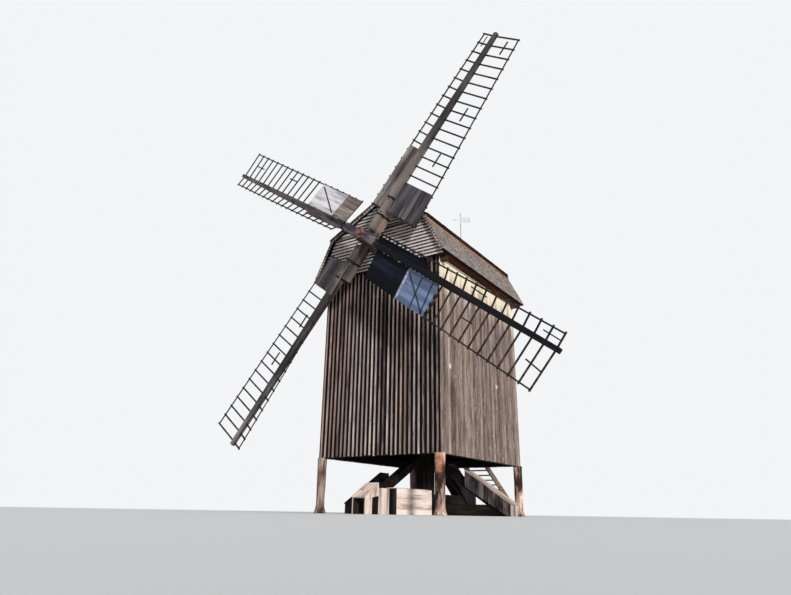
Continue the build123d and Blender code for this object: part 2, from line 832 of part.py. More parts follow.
with BuildPart() as whips:
    add(whip_solids)
save("whips", whips)

for kind, solids in panel_solids.items():
    with BuildPart() as panels:
        add(solids)
    save(kind, panels)

# Weather vane: a fixed rod over the rear end of the ridge, and a flag that turns on it
rod_bottom = ridge_z + upper_rise
with BuildPart() as vane_rod:
    for bottom, radius, length in (
        (rod_bottom, vane_rod_radius, vane_rod_top - rod_bottom),
        (vane_collar_z, vane_collar_radius, vane_collar_height),
    ):
        with BuildSketch(Plane.XY.offset(bottom)):
            with Locations((0, vane_y)):
                RegularPolygon(radius, 12)
        extrude(amount=length)
save("vane_rod", vane_rod)

with BuildPart() as vane_flag:
    sleeve_z = vane_collar_z + vane_collar_height + vane_clearance
    bore = vane_rod_radius + vane_clearance
    with BuildSketch(Plane.XY.offset(sleeve_z)):
        with Locations((0, vane_y)):
            Circle(bore + vane_sleeve_wall)
    extrude(amount=vane_sleeve_length)
    with BuildSketch(Plane.XY.offset(sleeve_z + (vane_sleeve_length - vane_flag_height) / 2)):
        with Locations(Location((0, vane_y, 0), (0, 0, vane_heading))):
            with Locations((bore + vane_flag_length / 2, 0)):
                Rectangle(vane_flag_length, vane_flag_thickness)
    extrude(amount=vane_flag_height)
    heading = Vector(-cos(radians(vane_heading)), -sin(radians(vane_heading)), 0)
    arm_root = Vector(0, vane_y, sleeve_z + vane_sleeve_length / 2)
    with BuildSketch(Plane(origin=arm_root, z_dir=heading)):
        Circle(vane_arm_radius)
    extrude(amount=vane_arm_length)
    ball_middle = arm_root + heading * vane_arm_length
    for ring in range(vane_ball_rings):
        for edge in (ring, ring + 1):
            turn = radians(180 * edge / vane_ball_rings)
            ring_middle = ball_middle - heading * vane_ball_radius * cos(turn)
            with BuildSketch(Plane(origin=ring_middle, z_dir=heading)):
                RegularPolygon(max(vane_arm_radius, vane_ball_radius * sin(turn)), 12)
        loft(ruled=True)
    with BuildSketch(Plane.XY.offset(sleeve_z - 1)):
        with Locations((0, vane_y)):
            Circle(bore)
    extrude(amount=vane_sleeve_length + 2, mode=Mode.SUBTRACT)
save("vane_flag", vane_flag)
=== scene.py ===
import bpy
import numpy as np
from functools import partial, partialmethod
from math import atan, cos, hypot, pi, radians, sin, tan
from mathutils import Matrix, Vector, noise


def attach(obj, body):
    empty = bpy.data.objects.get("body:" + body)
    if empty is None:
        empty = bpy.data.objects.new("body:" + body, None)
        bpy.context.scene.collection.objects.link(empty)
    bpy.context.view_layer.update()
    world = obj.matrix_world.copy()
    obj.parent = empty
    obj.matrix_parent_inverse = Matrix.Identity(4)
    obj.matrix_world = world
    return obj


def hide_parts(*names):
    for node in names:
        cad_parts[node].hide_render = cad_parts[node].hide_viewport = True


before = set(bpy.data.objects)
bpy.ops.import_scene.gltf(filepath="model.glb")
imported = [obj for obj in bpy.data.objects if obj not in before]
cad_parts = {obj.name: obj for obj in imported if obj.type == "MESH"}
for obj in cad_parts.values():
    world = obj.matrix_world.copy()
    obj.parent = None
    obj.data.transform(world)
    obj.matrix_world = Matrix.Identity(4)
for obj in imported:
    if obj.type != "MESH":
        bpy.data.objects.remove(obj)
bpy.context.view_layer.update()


# Trestle: two squared crosstrees lie crossed, the lower one on the ground and the upper one on piers,
# and the eight-sided post stands where they cross. Four raking quarterbars are let into its sides.
# All of it is hewn oak that has never been painted. Its colour is painted nearly black as the deep shade
# under the body.


def paint(red, green, blue):
    """A colour given by its 0 to 255 values, as a shader takes it."""
    parts = [value / 255 for value in (red, green, blue)]
    return tuple(p / 12.92 if p <= 0.04045 else ((p + 0.055) / 1.055) ** 2.4 for p in parts) + (1,)


class Value:
    """What a node gives out. Arithmetic on it adds the nodes that reckon the result."""

    def __init__(self, socket):
        self.socket = socket

    def beside(self, output):
        """What the same node gives out at another output."""
        return Value(self.socket.node.outputs[output])

    def reckon(self, operation, *others):
        """One step of arithmetic, between vectors where one of the sources is one."""
        sources = (self, *others)
        kinds = [source.socket.type if isinstance(source, Value) else type(source) for source in sources]
        vectors = any(kind in ("VECTOR", "RGBA", tuple) for kind in kinds)
        return add(self.socket.id_data, "ShaderNodeVectorMath" if vectors else "ShaderNodeMath",
                   dict(enumerate(sources)), int(operation in ("DOT_PRODUCT", "DISTANCE")), operation=operation)

    def then(self, kind, inputs=None, **settings):
        """The next step that a geometry goes through."""
        return add(self.socket.id_data, "GeometryNode" + kind, {"Geometry": self, **(inputs or {})}, **settings)

    __add__ = partialmethod(reckon, "ADD")
    __sub__ = partialmethod(reckon, "SUBTRACT")
    __mul__ = partialmethod(reckon, "MULTIPLY")
    __truediv__ = partialmethod(reckon, "DIVIDE")
    __abs__ = partialmethod(reckon, "ABSOLUTE")


def feed(socket, source):
    """Give a socket its link or its plain value."""
    if isinstance(source, Value):
        socket.id_data.links.new(source.socket, socket)
    else:
        socket.default_value = source


def add(tree, kind, inputs=None, out=0, **settings):
    """A new node with its settings and inputs, as the value that it gives out."""
    node = tree.nodes.new(kind)
    for name, setting in settings.items():
        setattr(node, name, setting)
    for name, source in (inputs or {}).items():
        feed(node.inputs[name], source)
    return Value(node.outputs[out])


def split(vector):
    """A vector's X, Y and Z."""
    apart = add(vector.socket.id_data, "ShaderNodeSeparateXYZ", {0: vector})
    return [apart.beside(axis) for axis in "XYZ"]


def blend(share, first, second):
    """Two colours mixed, the second by its share."""
    return add(share.socket.id_data, "ShaderNodeMix", {0: share, 6: first, 7: second}, 2, data_type="RGBA")


def cloud(vector, scale, detail, contrast):
    """A soft noise about 0.5, spread by its contrast."""
    speckle = add(vector.socket.id_data, "ShaderNodeTexNoise", {"Vector": vector, "Scale": scale, "Detail": detail})
    return speckle * contrast + (0.5 - contrast / 2)


def ramp(value, low, high):
    """0 below low, 1 above high, and smooth between them."""
    return add(value.socket.id_data, "ShaderNodeMapRange", {0: value, 1: low, 2: high, 3: 0, 4: 1},
               interpolation_type="SMOOTHSTEP")


def new_group(name, kind, inputs, outputs):
    """A node group, the values that go into it and the sockets that its results go to."""
    group = bpy.data.node_groups.new(name, kind)
    for direction, kinds in (("INPUT", inputs), ("OUTPUT", outputs)):
        for socket_kind, names in kinds.items():
            for socket_name in names:
                group.interface.new_socket(name=socket_name, in_out=direction, socket_type="NodeSocket" + socket_kind)
    given = {socket.name: Value(socket) for socket in group.nodes.new("NodeGroupInput").outputs if socket.name}
    return group, given, group.nodes.new("NodeGroupOutput").inputs


# Weathered wood: grey fibres, brown streaks, long drying cracks and damp patches. Its grain runs along Z.
weathered_grain, wood, wood_out = new_group(
    "weathered_grain", "ShaderNodeTree",
    {"Vector": ["Vector"], "Float": ["Tone", "Fibres", "Patches", "Cracks"], "Color": ["Dark", "Mid", "Light"]},
    {"Color": ["Color"], "Float": ["Roughness", "Height"]})
moved = wood["Vector"] + wood["Tone"] * (13.7, 7.9, 3.1)
fine = moved * (1, 1, 0.05) * wood["Fibres"]
fibre = cloud(fine, 1, 5, 2.4)
streak = cloud(fine * (0.21, 0.21, 0.35), 1, 3, 2.6)
patch = cloud(moved * (1, 1, 0.45), 1.6, 4, 3)
crack = ramp(abs(cloud(fine * (0.4, 0.4, 0.28), 1, 1, 1) - 0.5), 0.012, 0) * wood["Cracks"]
shade = (fibre - 0.5) * 0.55 + 0.5 + (streak - 0.5) * 0.6
shade = shade + wood["Patches"] * (patch - 0.5) + (wood["Tone"] - 0.5) * 0.7
colour = blend(ramp(shade, 0, 0.5), wood["Dark"], wood["Mid"])
colour = blend(ramp(shade, 0.5, 1), colour, wood["Light"])
feed(wood_out["Color"], blend(crack * 0.85, colour, paint(20, 15, 12)))
feed(wood_out["Roughness"], fibre * 0.2 + 0.7)
feed(wood_out["Height"], fibre * 0.5 + streak * 0.4 - crack)

# Worn edges: 1 along the arrises of a timber, where its corners are rubbed and bleached
worn_arris, arris, arris_out = new_group("worn_arris", "ShaderNodeTree", {"Float": ["Reach"]}, {"Float": ["Mask"]})
rounded = add(worn_arris, "ShaderNodeBevel", {"Radius": arris["Reach"]}, samples=4)
true_face = add(worn_arris, "ShaderNodeNewGeometry", out="True Normal")
feed(arris_out["Mask"], ramp(rounded.reckon("DOT_PRODUCT", true_face), 0.995, 0.8))


def new_finish(name):
    """A new material and its shader's sockets."""
    material = bpy.data.materials.new(name)
    material.use_nodes = True
    return material, material.node_tree.nodes["Principled BSDF"].inputs


def place_on(material):
    """Where a point lies in the object's own coordinates."""
    return add(material.node_tree, "ShaderNodeTexCoord", out="Object")


def carried(material, label, out="Fac"):
    """What boards carry: each one's tone, or the way that it lies."""
    return add(material.node_tree, "ShaderNodeAttribute", out=out, attribute_name=label)


def wash(material, mask, colour, strength=1):
    """Lay another colour over a material's own where the mask is 1."""
    base = material.node_tree.nodes["Principled BSDF"].inputs["Base Color"]
    feed(base, blend(mask * strength, Value(base.links[0].from_socket), paint(*colour)))


def timber(name, dark, mid, light, turn=(0, 0, 0), fibres=30, patches=0.5, cracks=0.6, relief=0.004,
           laid=False, worn=0):
    """A weathered wood. Laid boards carry their own run and tone, and a solid timber's grain is turned."""
    material, shader = new_finish(name)
    tree = material.node_tree
    if laid:
        run, tone = carried(material, "lay", "Vector"), carried(material, "tone")
    else:
        turned = {"Vector": place_on(material), "Rotation": [radians(angle) for angle in turn]}
        run, tone = add(tree, "ShaderNodeMapping", turned), 0.5
    grain = add(tree, "ShaderNodeGroup", {
        "Vector": run, "Tone": tone, "Dark": paint(*dark), "Mid": paint(*mid), "Light": paint(*light),
        "Fibres": fibres, "Patches": patches, "Cracks": cracks,
    }, "Color", node_tree=weathered_grain)
    feed(shader["Base Color"], grain)
    feed(shader["Roughness"], grain.beside("Roughness"))
    feed(shader["Specular IOR Level"], 0.1)
    feed(shader["Normal"], add(tree, "ShaderNodeBump", {"Distance": relief, "Height": grain.beside("Height")}))
    if worn:
        wash(material, add(tree, "ShaderNodeGroup", {"Reach": worn}, "Mask", node_tree=worn_arris), light, 0.55)
    return material


planking = partial(timber, laid=True)


def dress(material, *nodes):
    """Give solids of the frame their finish."""
    for node in nodes:
        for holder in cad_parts[node].material_slots:
            holder.material = material


along_x, along_y = (0, 90, 0), (90, 0, 0)
# The trestle's oak is painted nearly black as the deep shade under the body
oak = ((14, 11, 10), (28, 23, 21), (54, 46, 41))
dress(timber("oak_along_x", *oak, turn=along_x, worn=0.02), "crosstree_lower")
dress(timber("oak_along_y", *oak, turn=along_y, worn=0.02), "crosstree_upper", "piers")
dress(timber("crown_oak", *oak, turn=along_x), "crown_tree")
dress(timber("oak_upright", *oak, worn=0.02), "main_post", "quarterbars")


# Casings: boarded boxes that keep the rain off the trestle's ends. Softwood boards, silvered by the sun,
# are nailed to a thin shell: upright on the sloped casings' sides and along their lids. The left and rear
# casings' boards are painted near black as the shade under the body.

# Boards, battens and shingles laid in rows on a flat field: X across, Y along the boards, Z outwards
boarded_field, board, field_out = new_group("boarded_field", "GeometryNodeTree", {
    "Geometry": ["Geometry"],
    "Float": ["Width", "Height", "Board Width", "Length", "Row", "Thickness", "Gap", "Lift", "Tilt", "Stagger",
              "Jitter", "Ragged", "Turn", "Uneven", "Wave", "Foot", "Foot Slope", "Top", "Top Slope",
              "Hole Height", "Hole Radius"],
    "Int": ["Cuts", "Seed"], "Material": ["Material"],
}, {"Geometry": ["Geometry"]})
number = add(boarded_field, "GeometryNodeInputIndex")
x, y, z = split(add(boarded_field, "GeometryNodeInputPosition"))


def chance(low, high, shift):
    """A random value for each board, from the field's seed and a shift of its own."""
    return add(boarded_field, "FunctionNodeRandomValue", {2: low, 3: high, 7: number, 8: board["Seed"] + shift}, 1)


def combine(x, y, z):
    """A vector from its three parts."""
    tree = next(part for part in (x, y, z) if isinstance(part, Value)).socket.id_data
    return add(tree, "ShaderNodeCombineXYZ", {0: x, 1: y, 2: z})


def outline(height):
    """Half the field's width at a height: the lower of its two edge lines."""
    foot = height * board["Foot Slope"] + board["Foot"]
    return foot.reckon("MINIMUM", height * board["Top Slope"] + board["Top"])


columns = (board["Width"] / board["Board Width"]).reckon("CEIL") + 1
rows = (board["Height"] / board["Row"]).reckon("CEIL")
row = ((number + 0.5) / columns).reckon("FLOOR")
odd = row.reckon("MODULO", 2) * board["Stagger"]
across = (number - row * columns + 0.5 - odd) * board["Board Width"] - board["Width"] * 0.5
butt = chance(-1, 1, 1) * board["Ragged"] + row * board["Row"]
lift = chance(0, 1, 2) * board["Uneven"] + board["Lift"]
points = add(boarded_field, "GeometryNodePoints", {"Count": columns * rows, "Position": combine(across, butt, lift)})
outside = (abs(x) - board["Board Width"] * 0.4).reckon("GREATER_THAN", outline(y))
middle = combine(x, board["Row"] * 0.5 + y, 0)
from_hole = middle.reckon("DISTANCE", combine(0, board["Hole Height"], 0))
unwanted = outside.reckon("MAXIMUM", from_hole.reckon("LESS_THAN", board["Hole Radius"]))
wanted = points.then("DeleteGeometry", {"Selection": unwanted})

plank = add(boarded_field, "GeometryNodeMeshCube", {"Vertices Y": board["Cuts"]}, "Mesh")
plank = plank.then("Transform", {"Translation": (0, 0.5, 0.5)})
own_width = chance(-1, 1, 3) * board["Jitter"] + (board["Board Width"] - board["Gap"])
own_turn = chance(-1, 1, 4) * board["Turn"]
planks = add(boarded_field, "GeometryNodeInstanceOnPoints", {
    "Points": wanted, "Instance": plank, "Scale": combine(own_width, board["Length"], board["Thickness"]),
    "Rotation": combine(board["Tilt"] * -1, 0, own_turn),
})
planks = planks.then("StoreNamedAttribute", {"Name": "tone", "Value": chance(0, 1, 5)}, data_type="FLOAT",
                     domain="INSTANCE").then("RealizeInstances")
planks = planks.then("StoreNamedAttribute", {"Name": "lay", "Value": combine(x, z, y)}, data_type="FLOAT_VECTOR",
                     domain="POINT")
own_tone = add(boarded_field, "GeometryNodeInputNamedAttribute", {"Name": "tone"}, data_type="FLOAT")
bend = add(boarded_field, "ShaderNodeTexNoise", {"Detail": 1, "Vector": combine(own_tone * 40, y, 0)}, "Color")
sway = (bend - (0.5, 0.5, 0.5)) * (2, 0, 1) * board["Wave"]
edge = outline(y)
cut_x = x.reckon("MINIMUM", edge).reckon("MAXIMUM", edge * -1)
cut_y = y.reckon("MINIMUM", board["Height"])
planks = planks.then("SetPosition", {"Offset": sway}).then("SetPosition", {"Position": combine(cut_x, cut_y, z)})
feed(field_out["Geometry"], planks.then("SetMaterial", {"Material": board["Material"]}))


scene = bpy.context.scene


def stand(name, data):
    """A new object in the scene."""
    thing = bpy.data.objects.new(name, data)
    scene.collection.objects.link(thing)
    return thing


def grow(tree, material, sizes):
    """The mesh that a node tree makes with these sizes."""
    holder = stand("holder", bpy.data.meshes.new("holder"))
    modifier = holder.modifiers.new("made", "NODES")
    modifier.node_group = tree
    for item in tree.interface.items_tree:
        label = item.name.lower().replace(" ", "_")
        if label in sizes:
            plain = float if item.socket_type == "NodeSocketFloat" else int
            modifier[item.identifier] = plain(sizes[label])
        elif item.name == "Material":
            modifier[item.identifier] = material
    grown = bpy.data.meshes.new_from_object(holder.evaluated_get(bpy.context.evaluated_depsgraph_get()))
    holder.modifiers.remove(modifier)
    bpy.data.objects.remove(holder)
    return grown


def lay(material, width, height, board_width, seed, **chosen):
    """A flat field of boards. Its boards are as long as the field is high unless they lie in rows."""
    sizes = dict(
        width=width, height=height, board_width=board_width, seed=seed, length=height, row=height, thickness=0.02,
        gap=0.004, lift=0, tilt=0, stagger=0, jitter=0.003, ragged=0, turn=0, uneven=0.002, wave=0.002, cuts=2,
        foot=width / 2, foot_slope=0, top=1000, top_slope=0, hole_height=0, hole_radius=0)
    return grow(boarded_field, material, {**sizes, **chosen})


upright = (0, 0, 1)


def put(mesh, origin, across, run=upright):
    """Bring a flat field to its wall: its X goes across, its Y along the run, its Z out."""
    outward = Vector(across).cross(Vector(run))
    basis = Matrix((across, run, outward)).transposed().to_4x4()
    mesh.transform(Matrix.Translation(origin) @ basis)
    return mesh


def bend_to(mesh, place):
    """Move each point of a flat field to where a rule puts it."""
    flat = np.zeros(len(mesh.vertices) * 3, np.float32)
    mesh.vertices.foreach_get("co", flat)
    mesh.vertices.foreach_set("co", place(flat.reshape(-1, 3)).astype(np.float32).ravel())
    mesh.update()
    return mesh


def settle(name, meshes, body, slot, *stands_for):
    """Join meshes in place to one piece, attach it to its body and hide the solids that it stands for. Its slot is
    not used.
    """
    parts = [stand(f"{name}_{count}", mesh) for count, mesh in enumerate(meshes)]
    with bpy.context.temp_override(object=parts[0], active_object=parts[0], selected_objects=parts,
                                   selected_editable_objects=parts):
        bpy.ops.object.join()
    parts[0].name = name
    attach(parts[0], body)
    if stands_for:
        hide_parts(*stands_for)


def casing_stage(turn, ends, tops, feet, half, side_wood, lid_wood, seed, over=0.05):
    """Upright boards on both sides of a sloped box, from its foot to its lid, and boards along the lid."""
    u = np.array([cos(radians(turn)), sin(radians(turn)), 0])
    v = np.array([-u[1], u[0], 0])
    run = ends[1] - ends[0]
    slope = (tops[0] - tops[1]) / run
    stage = []
    for face in (-1, 1):

        def side_board(flat):
            share = 0.5 - face * flat[:, 0] / run
            foot = np.maximum(0, feet[0] + (feet[1] - feet[0]) * share)
            height = foot + flat[:, 1] * (tops[0] + (tops[1] - tops[0]) * share - foot)
            lift = (half + flat[:, 2])[:, None] * face
            return u * (ends[0] + run * share)[:, None] + v * lift + np.array([0, 0, 1]) * height[:, None]

        stage.append(bend_to(lay(side_wood, run, 1, 0.2, seed + (face > 0), thickness=0.016), side_board))
    down = atan(slope)
    rise = Vector(u) * -cos(down) + Vector((0, 0, sin(down)))
    foot_point = Vector(u) * (ends[1] + over) + Vector((0, 0, tops[1] - over * slope))
    stage.append(put(lay(lid_wood, 2 * half + 0.06, hypot(run + over, (run + over) * slope), 0.22, seed + 2,
                         thickness=0.024), foot_point, v, rise))
    return stage


level_x = (1, 0, 0)
pale_casing = planking("pale_casing_boards", (120, 104, 95), (186, 167, 155), (222, 206, 195))
grey_casing = planking("grey_casing_boards", (34, 29, 29), (72, 65, 65), (122, 112, 108), patches=0.6)
# Painted near black as the shade under the body, on the left and rear casings and a strip of the front box's end
shadow_casing = planking("dark_casing_boards", (12, 11, 12), (25, 23, 25), (46, 42, 44), patches=0.6)
casing_shell = timber("casing_shell", (60, 52, 45), (105, 94, 82), (150, 138, 120))
casing_slope = tan(radians(33.5))
side_depth, inner, foot_margin = 0.62, 2.05, 0.12
boards = []
for turn, outer, foot_z, side_wood, lid_wood, seed in (
    (0, 3.94, 0.42, grey_casing, pale_casing, 1), (180, 3.94, 0.42, shadow_casing, shadow_casing, 5),
    (90, 4.04, 0.84, shadow_casing, shadow_casing, 9),
):
    inner_top = foot_z + 0.05 + (outer - 0.04 - inner) * casing_slope
    outer_top = inner_top - (outer - inner) * casing_slope
    foot_rise = inner_top - side_depth
    outer_foot = -foot_rise * foot_margin / (outer - inner - foot_margin)
    boards += casing_stage(turn, (inner, outer), (inner_top, outer_top), (foot_rise, outer_foot), 0.32,
                           side_wood, lid_wood, seed)
    u = Vector((cos(radians(turn)), sin(radians(turn)), 0))
    boards.append(put(lay(lid_wood, 0.64, outer_top - 0.02, 0.21, seed + 3, thickness=0.016), u * outer,
                      (-u.y, u.x, 0)))
settle("casing_boarding", boards, "root", "casing_boards")
dress(casing_shell, "casings")

# The front casing is a long low box with its boards level, and a stepped hood with its outer end open.
# Between them upright boards cover the crosstree's sides. The boards are pale, and the box's right side is
# painted paler still as sunlit. The hood's inside is painted dark as shade, and so is a strip of the box's end.
front_casing = planking("front_casing_boards", (166, 144, 132), (230, 206, 192), (250, 232, 220))
# The front box's right side: the same boards painted paler as sunlit
sunlit_casing = planking("sunny_casing_boards", (196, 170, 156), (250, 226, 210), (255, 242, 232))
front_boards = []
for wood, width, height, board_width, seed, thickness, cuts, origin, across, run in (
    (sunlit_casing, 0.93, 2.55, 0.186, 21, 0.016, 6, (0.58, -0.45, 0.465), upright, (0, -1, 0)),
    (front_casing, 0.93, 2.55, 0.186, 22, 0.016, 6, (-0.24, -3, 0.465), upright, (0, 1, 0)),
    (front_casing, 0.49, 0.93, 0.163, 23, 0.018, 2, (-0.01, -3, 0), level_x, upright),
    (shadow_casing, 0.35, 0.93, 0.175, 25, 0.018, 2, (0.415, -3, 0), level_x, upright),
    (front_casing, 0.88, 2.58, 0.22, 24, 0.022, 2, (0.17, -3.03, 0.93), level_x, (0, 1, 0)),
    (front_casing, 0.7, 0.92, 0.175, 28, 0.016, 2, (0.251, -3.35, 0), (0, 1, 0), upright),
    (front_casing, 0.7, 0.92, 0.175, 28, 0.016, 2, (-0.251, -3.35, 0), (0, -1, 0), upright),
):
    field = lay(wood, width, height, board_width, seed, thickness=thickness, cuts=cuts)
    front_boards.append(put(field, origin, across, run))
for ends, tops, feet, half, seed in (((4.13, 4.55), (0.821, 0.59), (0, 0), 0.29, 31),
                                     ((3.7, 4.17), (1.087, 0.829), (0.64, 0.56), 0.25, 35)):
    front_boards += casing_stage(-90, ends, tops, feet, half, front_casing, front_casing, seed, over=0.03)
settle("front_casing_boarding", front_boards, "root", "casing_boards")
dress(casing_shell, "casing_front_box")
hood_shell = timber("hood_shell", (120, 104, 94), (186, 168, 156), (226, 210, 198))
hood_x, hood_y = split(place_on(hood_shell))[:2]
# Painted shade inside the hood's open end
wash(hood_shell, ramp(abs(hood_x), 0.262, 0.252) * ramp(hood_y, -4.548, -4.535), (14, 12, 12), 0.95)
dress(hood_shell, "casing_front")


# Log props: four raw trunks stand upright under the body's corners, with flared feet, drying splits and
# flattened sides. The front right one shows fresh red-brown wood near its head, where the bark came off,
# and the left ones are painted darker as shade.


def mesh_of(name, verts, faces, material):
    """A mesh from its points and faces, in one material."""
    mesh = bpy.data.meshes.new(name)
    mesh.from_pydata(verts, [], faces)
    mesh.materials.append(material)
    return mesh


log_wood = timber("log_wood", (50, 35, 29), (178, 146, 131), (246, 220, 205), fibres=18, patches=1.6, cracks=1.3,
                  relief=0.02)
log_place = place_on(log_wood)
from_fresh = (log_place * (1, 1, 0.45)).reckon("DISTANCE", (2.78, -3.62, 0.83))
wash(log_wood, ramp(from_fresh + cloud(log_place, 5, 3, 0.5), 0.8, 0.45), (222, 156, 126), 0.75)
# Painted shade: the left logs darker
wash(log_wood, ramp(split(log_place)[0], 0, -2), (76, 56, 47), 0.6)
log_sides, log_rings, log_height, log_radius, flare_height = 28, 30, 2.1, 0.165, 0.3
log_verts = []
log_faces = []
for sx, sy in ((-1, -1), (-1, 1), (1, -1), (1, 1)):
    seed = Vector((sx * 7.3, sy * 11.9, 0))
    first = len(log_verts)
    for ring in range(log_rings + 1):
        height = log_height * ring / log_rings
        flare = 0.075 * max(0, 1 - height / flare_height) ** 1.5
        bow = noise.noise(seed + Vector((0, 0, height * 0.7))) * 0.02
        for side in range(log_sides):
            angle = 2 * pi * side / log_sides
            way = Vector((cos(angle), sin(angle), 0))
            knobs = noise.noise(seed + way * 0.9 + Vector((0, 0, height * 1.3))) * 0.022
            ribs = noise.noise(seed + way * 3.4 + Vector((0, 0, height * 0.5))) * 0.02
            radius = log_radius + 0.008 * height + flare + knobs + ribs
            log_verts.append((sx * 2.71 + bow + way.x * radius, sy * 3.46 - bow + way.y * radius, height))
    for ring in range(log_rings):
        for side in range(log_sides):
            a = first + ring * log_sides + side
            b = first + ring * log_sides + (side + 1) % log_sides
            log_faces.append((a, b, b + log_sides, a + log_sides))
    log_faces.append([*range(first, first + log_sides)][::-1])
    log_faces.append([*range(len(log_verts) - log_sides, len(log_verts))])
log_mesh = mesh_of("log_props", log_verts, log_faces, log_wood)
log_mesh.shade_smooth()
settle("log_props", [log_mesh], "root", "log", "props")


# Body frame: sills round the foot, joists across it and the floor's boards on them, all softwood that
# the body keeps in shade.
dark_beams = ((14, 11, 10), (27, 22, 20), (50, 42, 37))
dress(timber("sill_timber", *dark_beams, turn=along_x), "sills")
dress(timber("joist_timber", *dark_beams, turn=along_x), "joists")
dress(timber("floor_boards", (30, 25, 22), (56, 48, 42), (88, 77, 68), turn=along_y), "floor")


# Front wall: upright boards with a batten nailed over each joint. The boards are painted almost black as
# the shade between the battens. The battens have weathered grey, some of them brown, and end unevenly at
# the foot.
front_y, front_foot, body_width, batten_spacing = -3.55, 2.1, 5.6, 0.2
# Painted shade: the boards between the battens almost black
gap_shade = ((7, 5, 5), (13, 10, 10), (26, 20, 18))
gap_shaded = planking("tarred_boards", *gap_shade, relief=0.003)
front_field = put(lay(gap_shaded, body_width, 7.54, batten_spacing, 41, thickness=0.012, gap=0.006, cuts=10),
                  (0, front_y, front_foot), level_x)
settle("front_boarding", [front_field], "root", "front_boards")
dress(timber("front_backing", *gap_shade), "front_wall")
batten_wood = planking("batten_wood", (82, 72, 70), (158, 142, 138), (210, 192, 182), patches=0.15,
                       cracks=0.8)
browner = (carried(batten_wood, "tone") * 13.7).reckon("FRACT")
wash(batten_wood, ramp(browner, 0.68, 0.8), (160, 116, 84), 0.45)
batten_field = put(
    lay(batten_wood, body_width, 7.56, batten_spacing, 43, thickness=0.05, gap=0.142, jitter=0.006, ragged=0.018,
        turn=0.0012, uneven=0, wave=0.003, cuts=24, foot=2.78),
    (0, front_y, front_foot), level_x)
settle("wall_battens", [batten_field], "root", "front_battens", "front_battens")


# Side walls: wide upright softwood boards, brown-grey and streaked by rain. Under the eaves, where no rain
# reaches, the boards have kept their pale colour. The right wall has three pale scars.
side_wood = planking("side_boards", (84, 68, 63), (138, 121, 113), (190, 168, 150), fibres=75, patches=0.2,
                     cracks=0.9)
side_place = place_on(side_wood)
side_z = split(side_place)[2]
streaky = cloud(side_place * (1, 9, 0.5), 1, 4, 2.5)
reach_down = carried(side_wood, "tone") * 0.5 + (streaky * 0.8 + side_z)
wash(side_wood, ramp(reach_down, 8.6, 10.2), (255, 240, 212), 0.95)
for scar, size, strength in (((2.8, -2.81, 5.36), 0.105, 0.95), ((2.8, 1.34, 5.28), 0.09, 0.95),
                             ((2.8, -1.86, 4.88), 0.035, 0.8)):
    away = cloud(side_place, 22, 3, 1) * 0.05 + side_place.reckon("DISTANCE", scar)
    wash(side_wood, ramp(away, size + 0.04, size), (236, 214, 188), strength)
fleck = cloud(side_place * (1, 1, 0.45), 13, 2, 1)
wash(side_wood, ramp(fleck, 0.66, 0.74) * ramp(side_z, 7.5, 4.5), (206, 180, 152))
wide_board, wall_foot, wall_height = 0.19, 2.09, 7.56
wall_board = dict(thickness=0.018, gap=0.008, wave=0.003)
side_fields = []
for sign, seed in ((1, 51), (-1, 52)):
    side_fields.append(put(
        lay(side_wood, 7.1, wall_height, wide_board, seed, jitter=0.004, ragged=0.006, uneven=0.005, cuts=12,
            **wall_board),
        (sign * body_width / 2, 0, wall_foot), (0, sign, 0)))
settle("side_boarding", side_fields, "root", "side_boards")
plain_backing = ((20, 15, 12), (40, 31, 26), (66, 54, 44))
dress(timber("side_backing", *plain_backing), "side_walls")


# Rear wall: the same upright boards, laid round the door at the head of the stair. The door is two layers
# of boards, hung on two forged strap hinges.
rear_fields = []
for width, middle, foot, height, seed in ((2.3, 1.65, wall_foot, wall_height, 61),
                                          (2.3, -1.65, wall_foot, wall_height, 62),
                                          (1, 0, wall_foot, 1.05, 63), (1, 0, 5.05, 4.6, 64)):
    rear_fields.append(put(lay(side_wood, width, height, wide_board, seed, ragged=0.005, uneven=0.004, cuts=10,
                               **wall_board), (middle, -front_y, foot), (-1, 0, 0)))
settle("rear_boarding", rear_fields, "root", "rear_boards")
dress(timber("rear_backing", *plain_backing), "rear_wall")
door_wood = planking("door_boards", (54, 43, 34), (106, 90, 76), (150, 130, 106))
door_field = put(lay(door_wood, 0.98, 1.86, 0.163, 65, thickness=0.014), (0, 3.54, 3.17), (-1, 0, 0))
settle("door_boarding", [door_field], "root", "door_boards")
dress(timber("door_backing", (40, 32, 26), (80, 68, 56), (120, 104, 86)), "rear_door")


def iron(name, dark, rust, share, painted=False):
    """Old forged iron: a dark skin with rust over a share of it, or paint in place of the skin."""
    material, shader = new_finish(name)
    place = place_on(material)
    grit = cloud(place, 160, 3, 1.5)
    mask = ramp(cloud(place, 9, 6, 2.2), 0.85 - share, 1.15 - share)
    skin = blend(mask, paint(*dark), paint(*rust))
    feed(shader["Base Color"], blend(ramp(grit, 0.35, 0.9) * 0.35, skin, paint(22, 16, 14)))
    feed(shader["Roughness"], mask * 0.35 + 0.5)
    if not painted:
        feed(shader["Metallic"], mask * -0.7 + 0.75)
    feed(shader["Normal"], add(material.node_tree, "ShaderNodeBump", {"Distance": 0.002, "Height": grit}))
    return material


forged_iron = iron("forged_iron", (22, 20, 22), (54, 36, 28), 0.3)
unvaried = dict(gap=0, jitter=0, wave=0)
settle("door_hinges", [put(lay(forged_iron, 0.72, 0.05, 0.72, 66, thickness=0.008, uneven=0, **unvaried),
                           (0.13, 3.555, height), (-1, 0, 0)) for height in (3.5, 4.68)],
       "root", "band_iron")


# Rear stair: two plank stringers let into the ground and the rear sill, with open plank treads between.
# It is softwood, worn and greyed by use and rain.
stair_wood = timber("stair_wood", (62, 52, 44), (122, 106, 90), (166, 150, 128), turn=along_y, worn=0.01)
dress(stair_wood, "stair_stringers")
dress(timber("tread_wood", (70, 60, 50), (132, 116, 98), (178, 160, 136), turn=along_x, worn=0.01), "stair_treads")


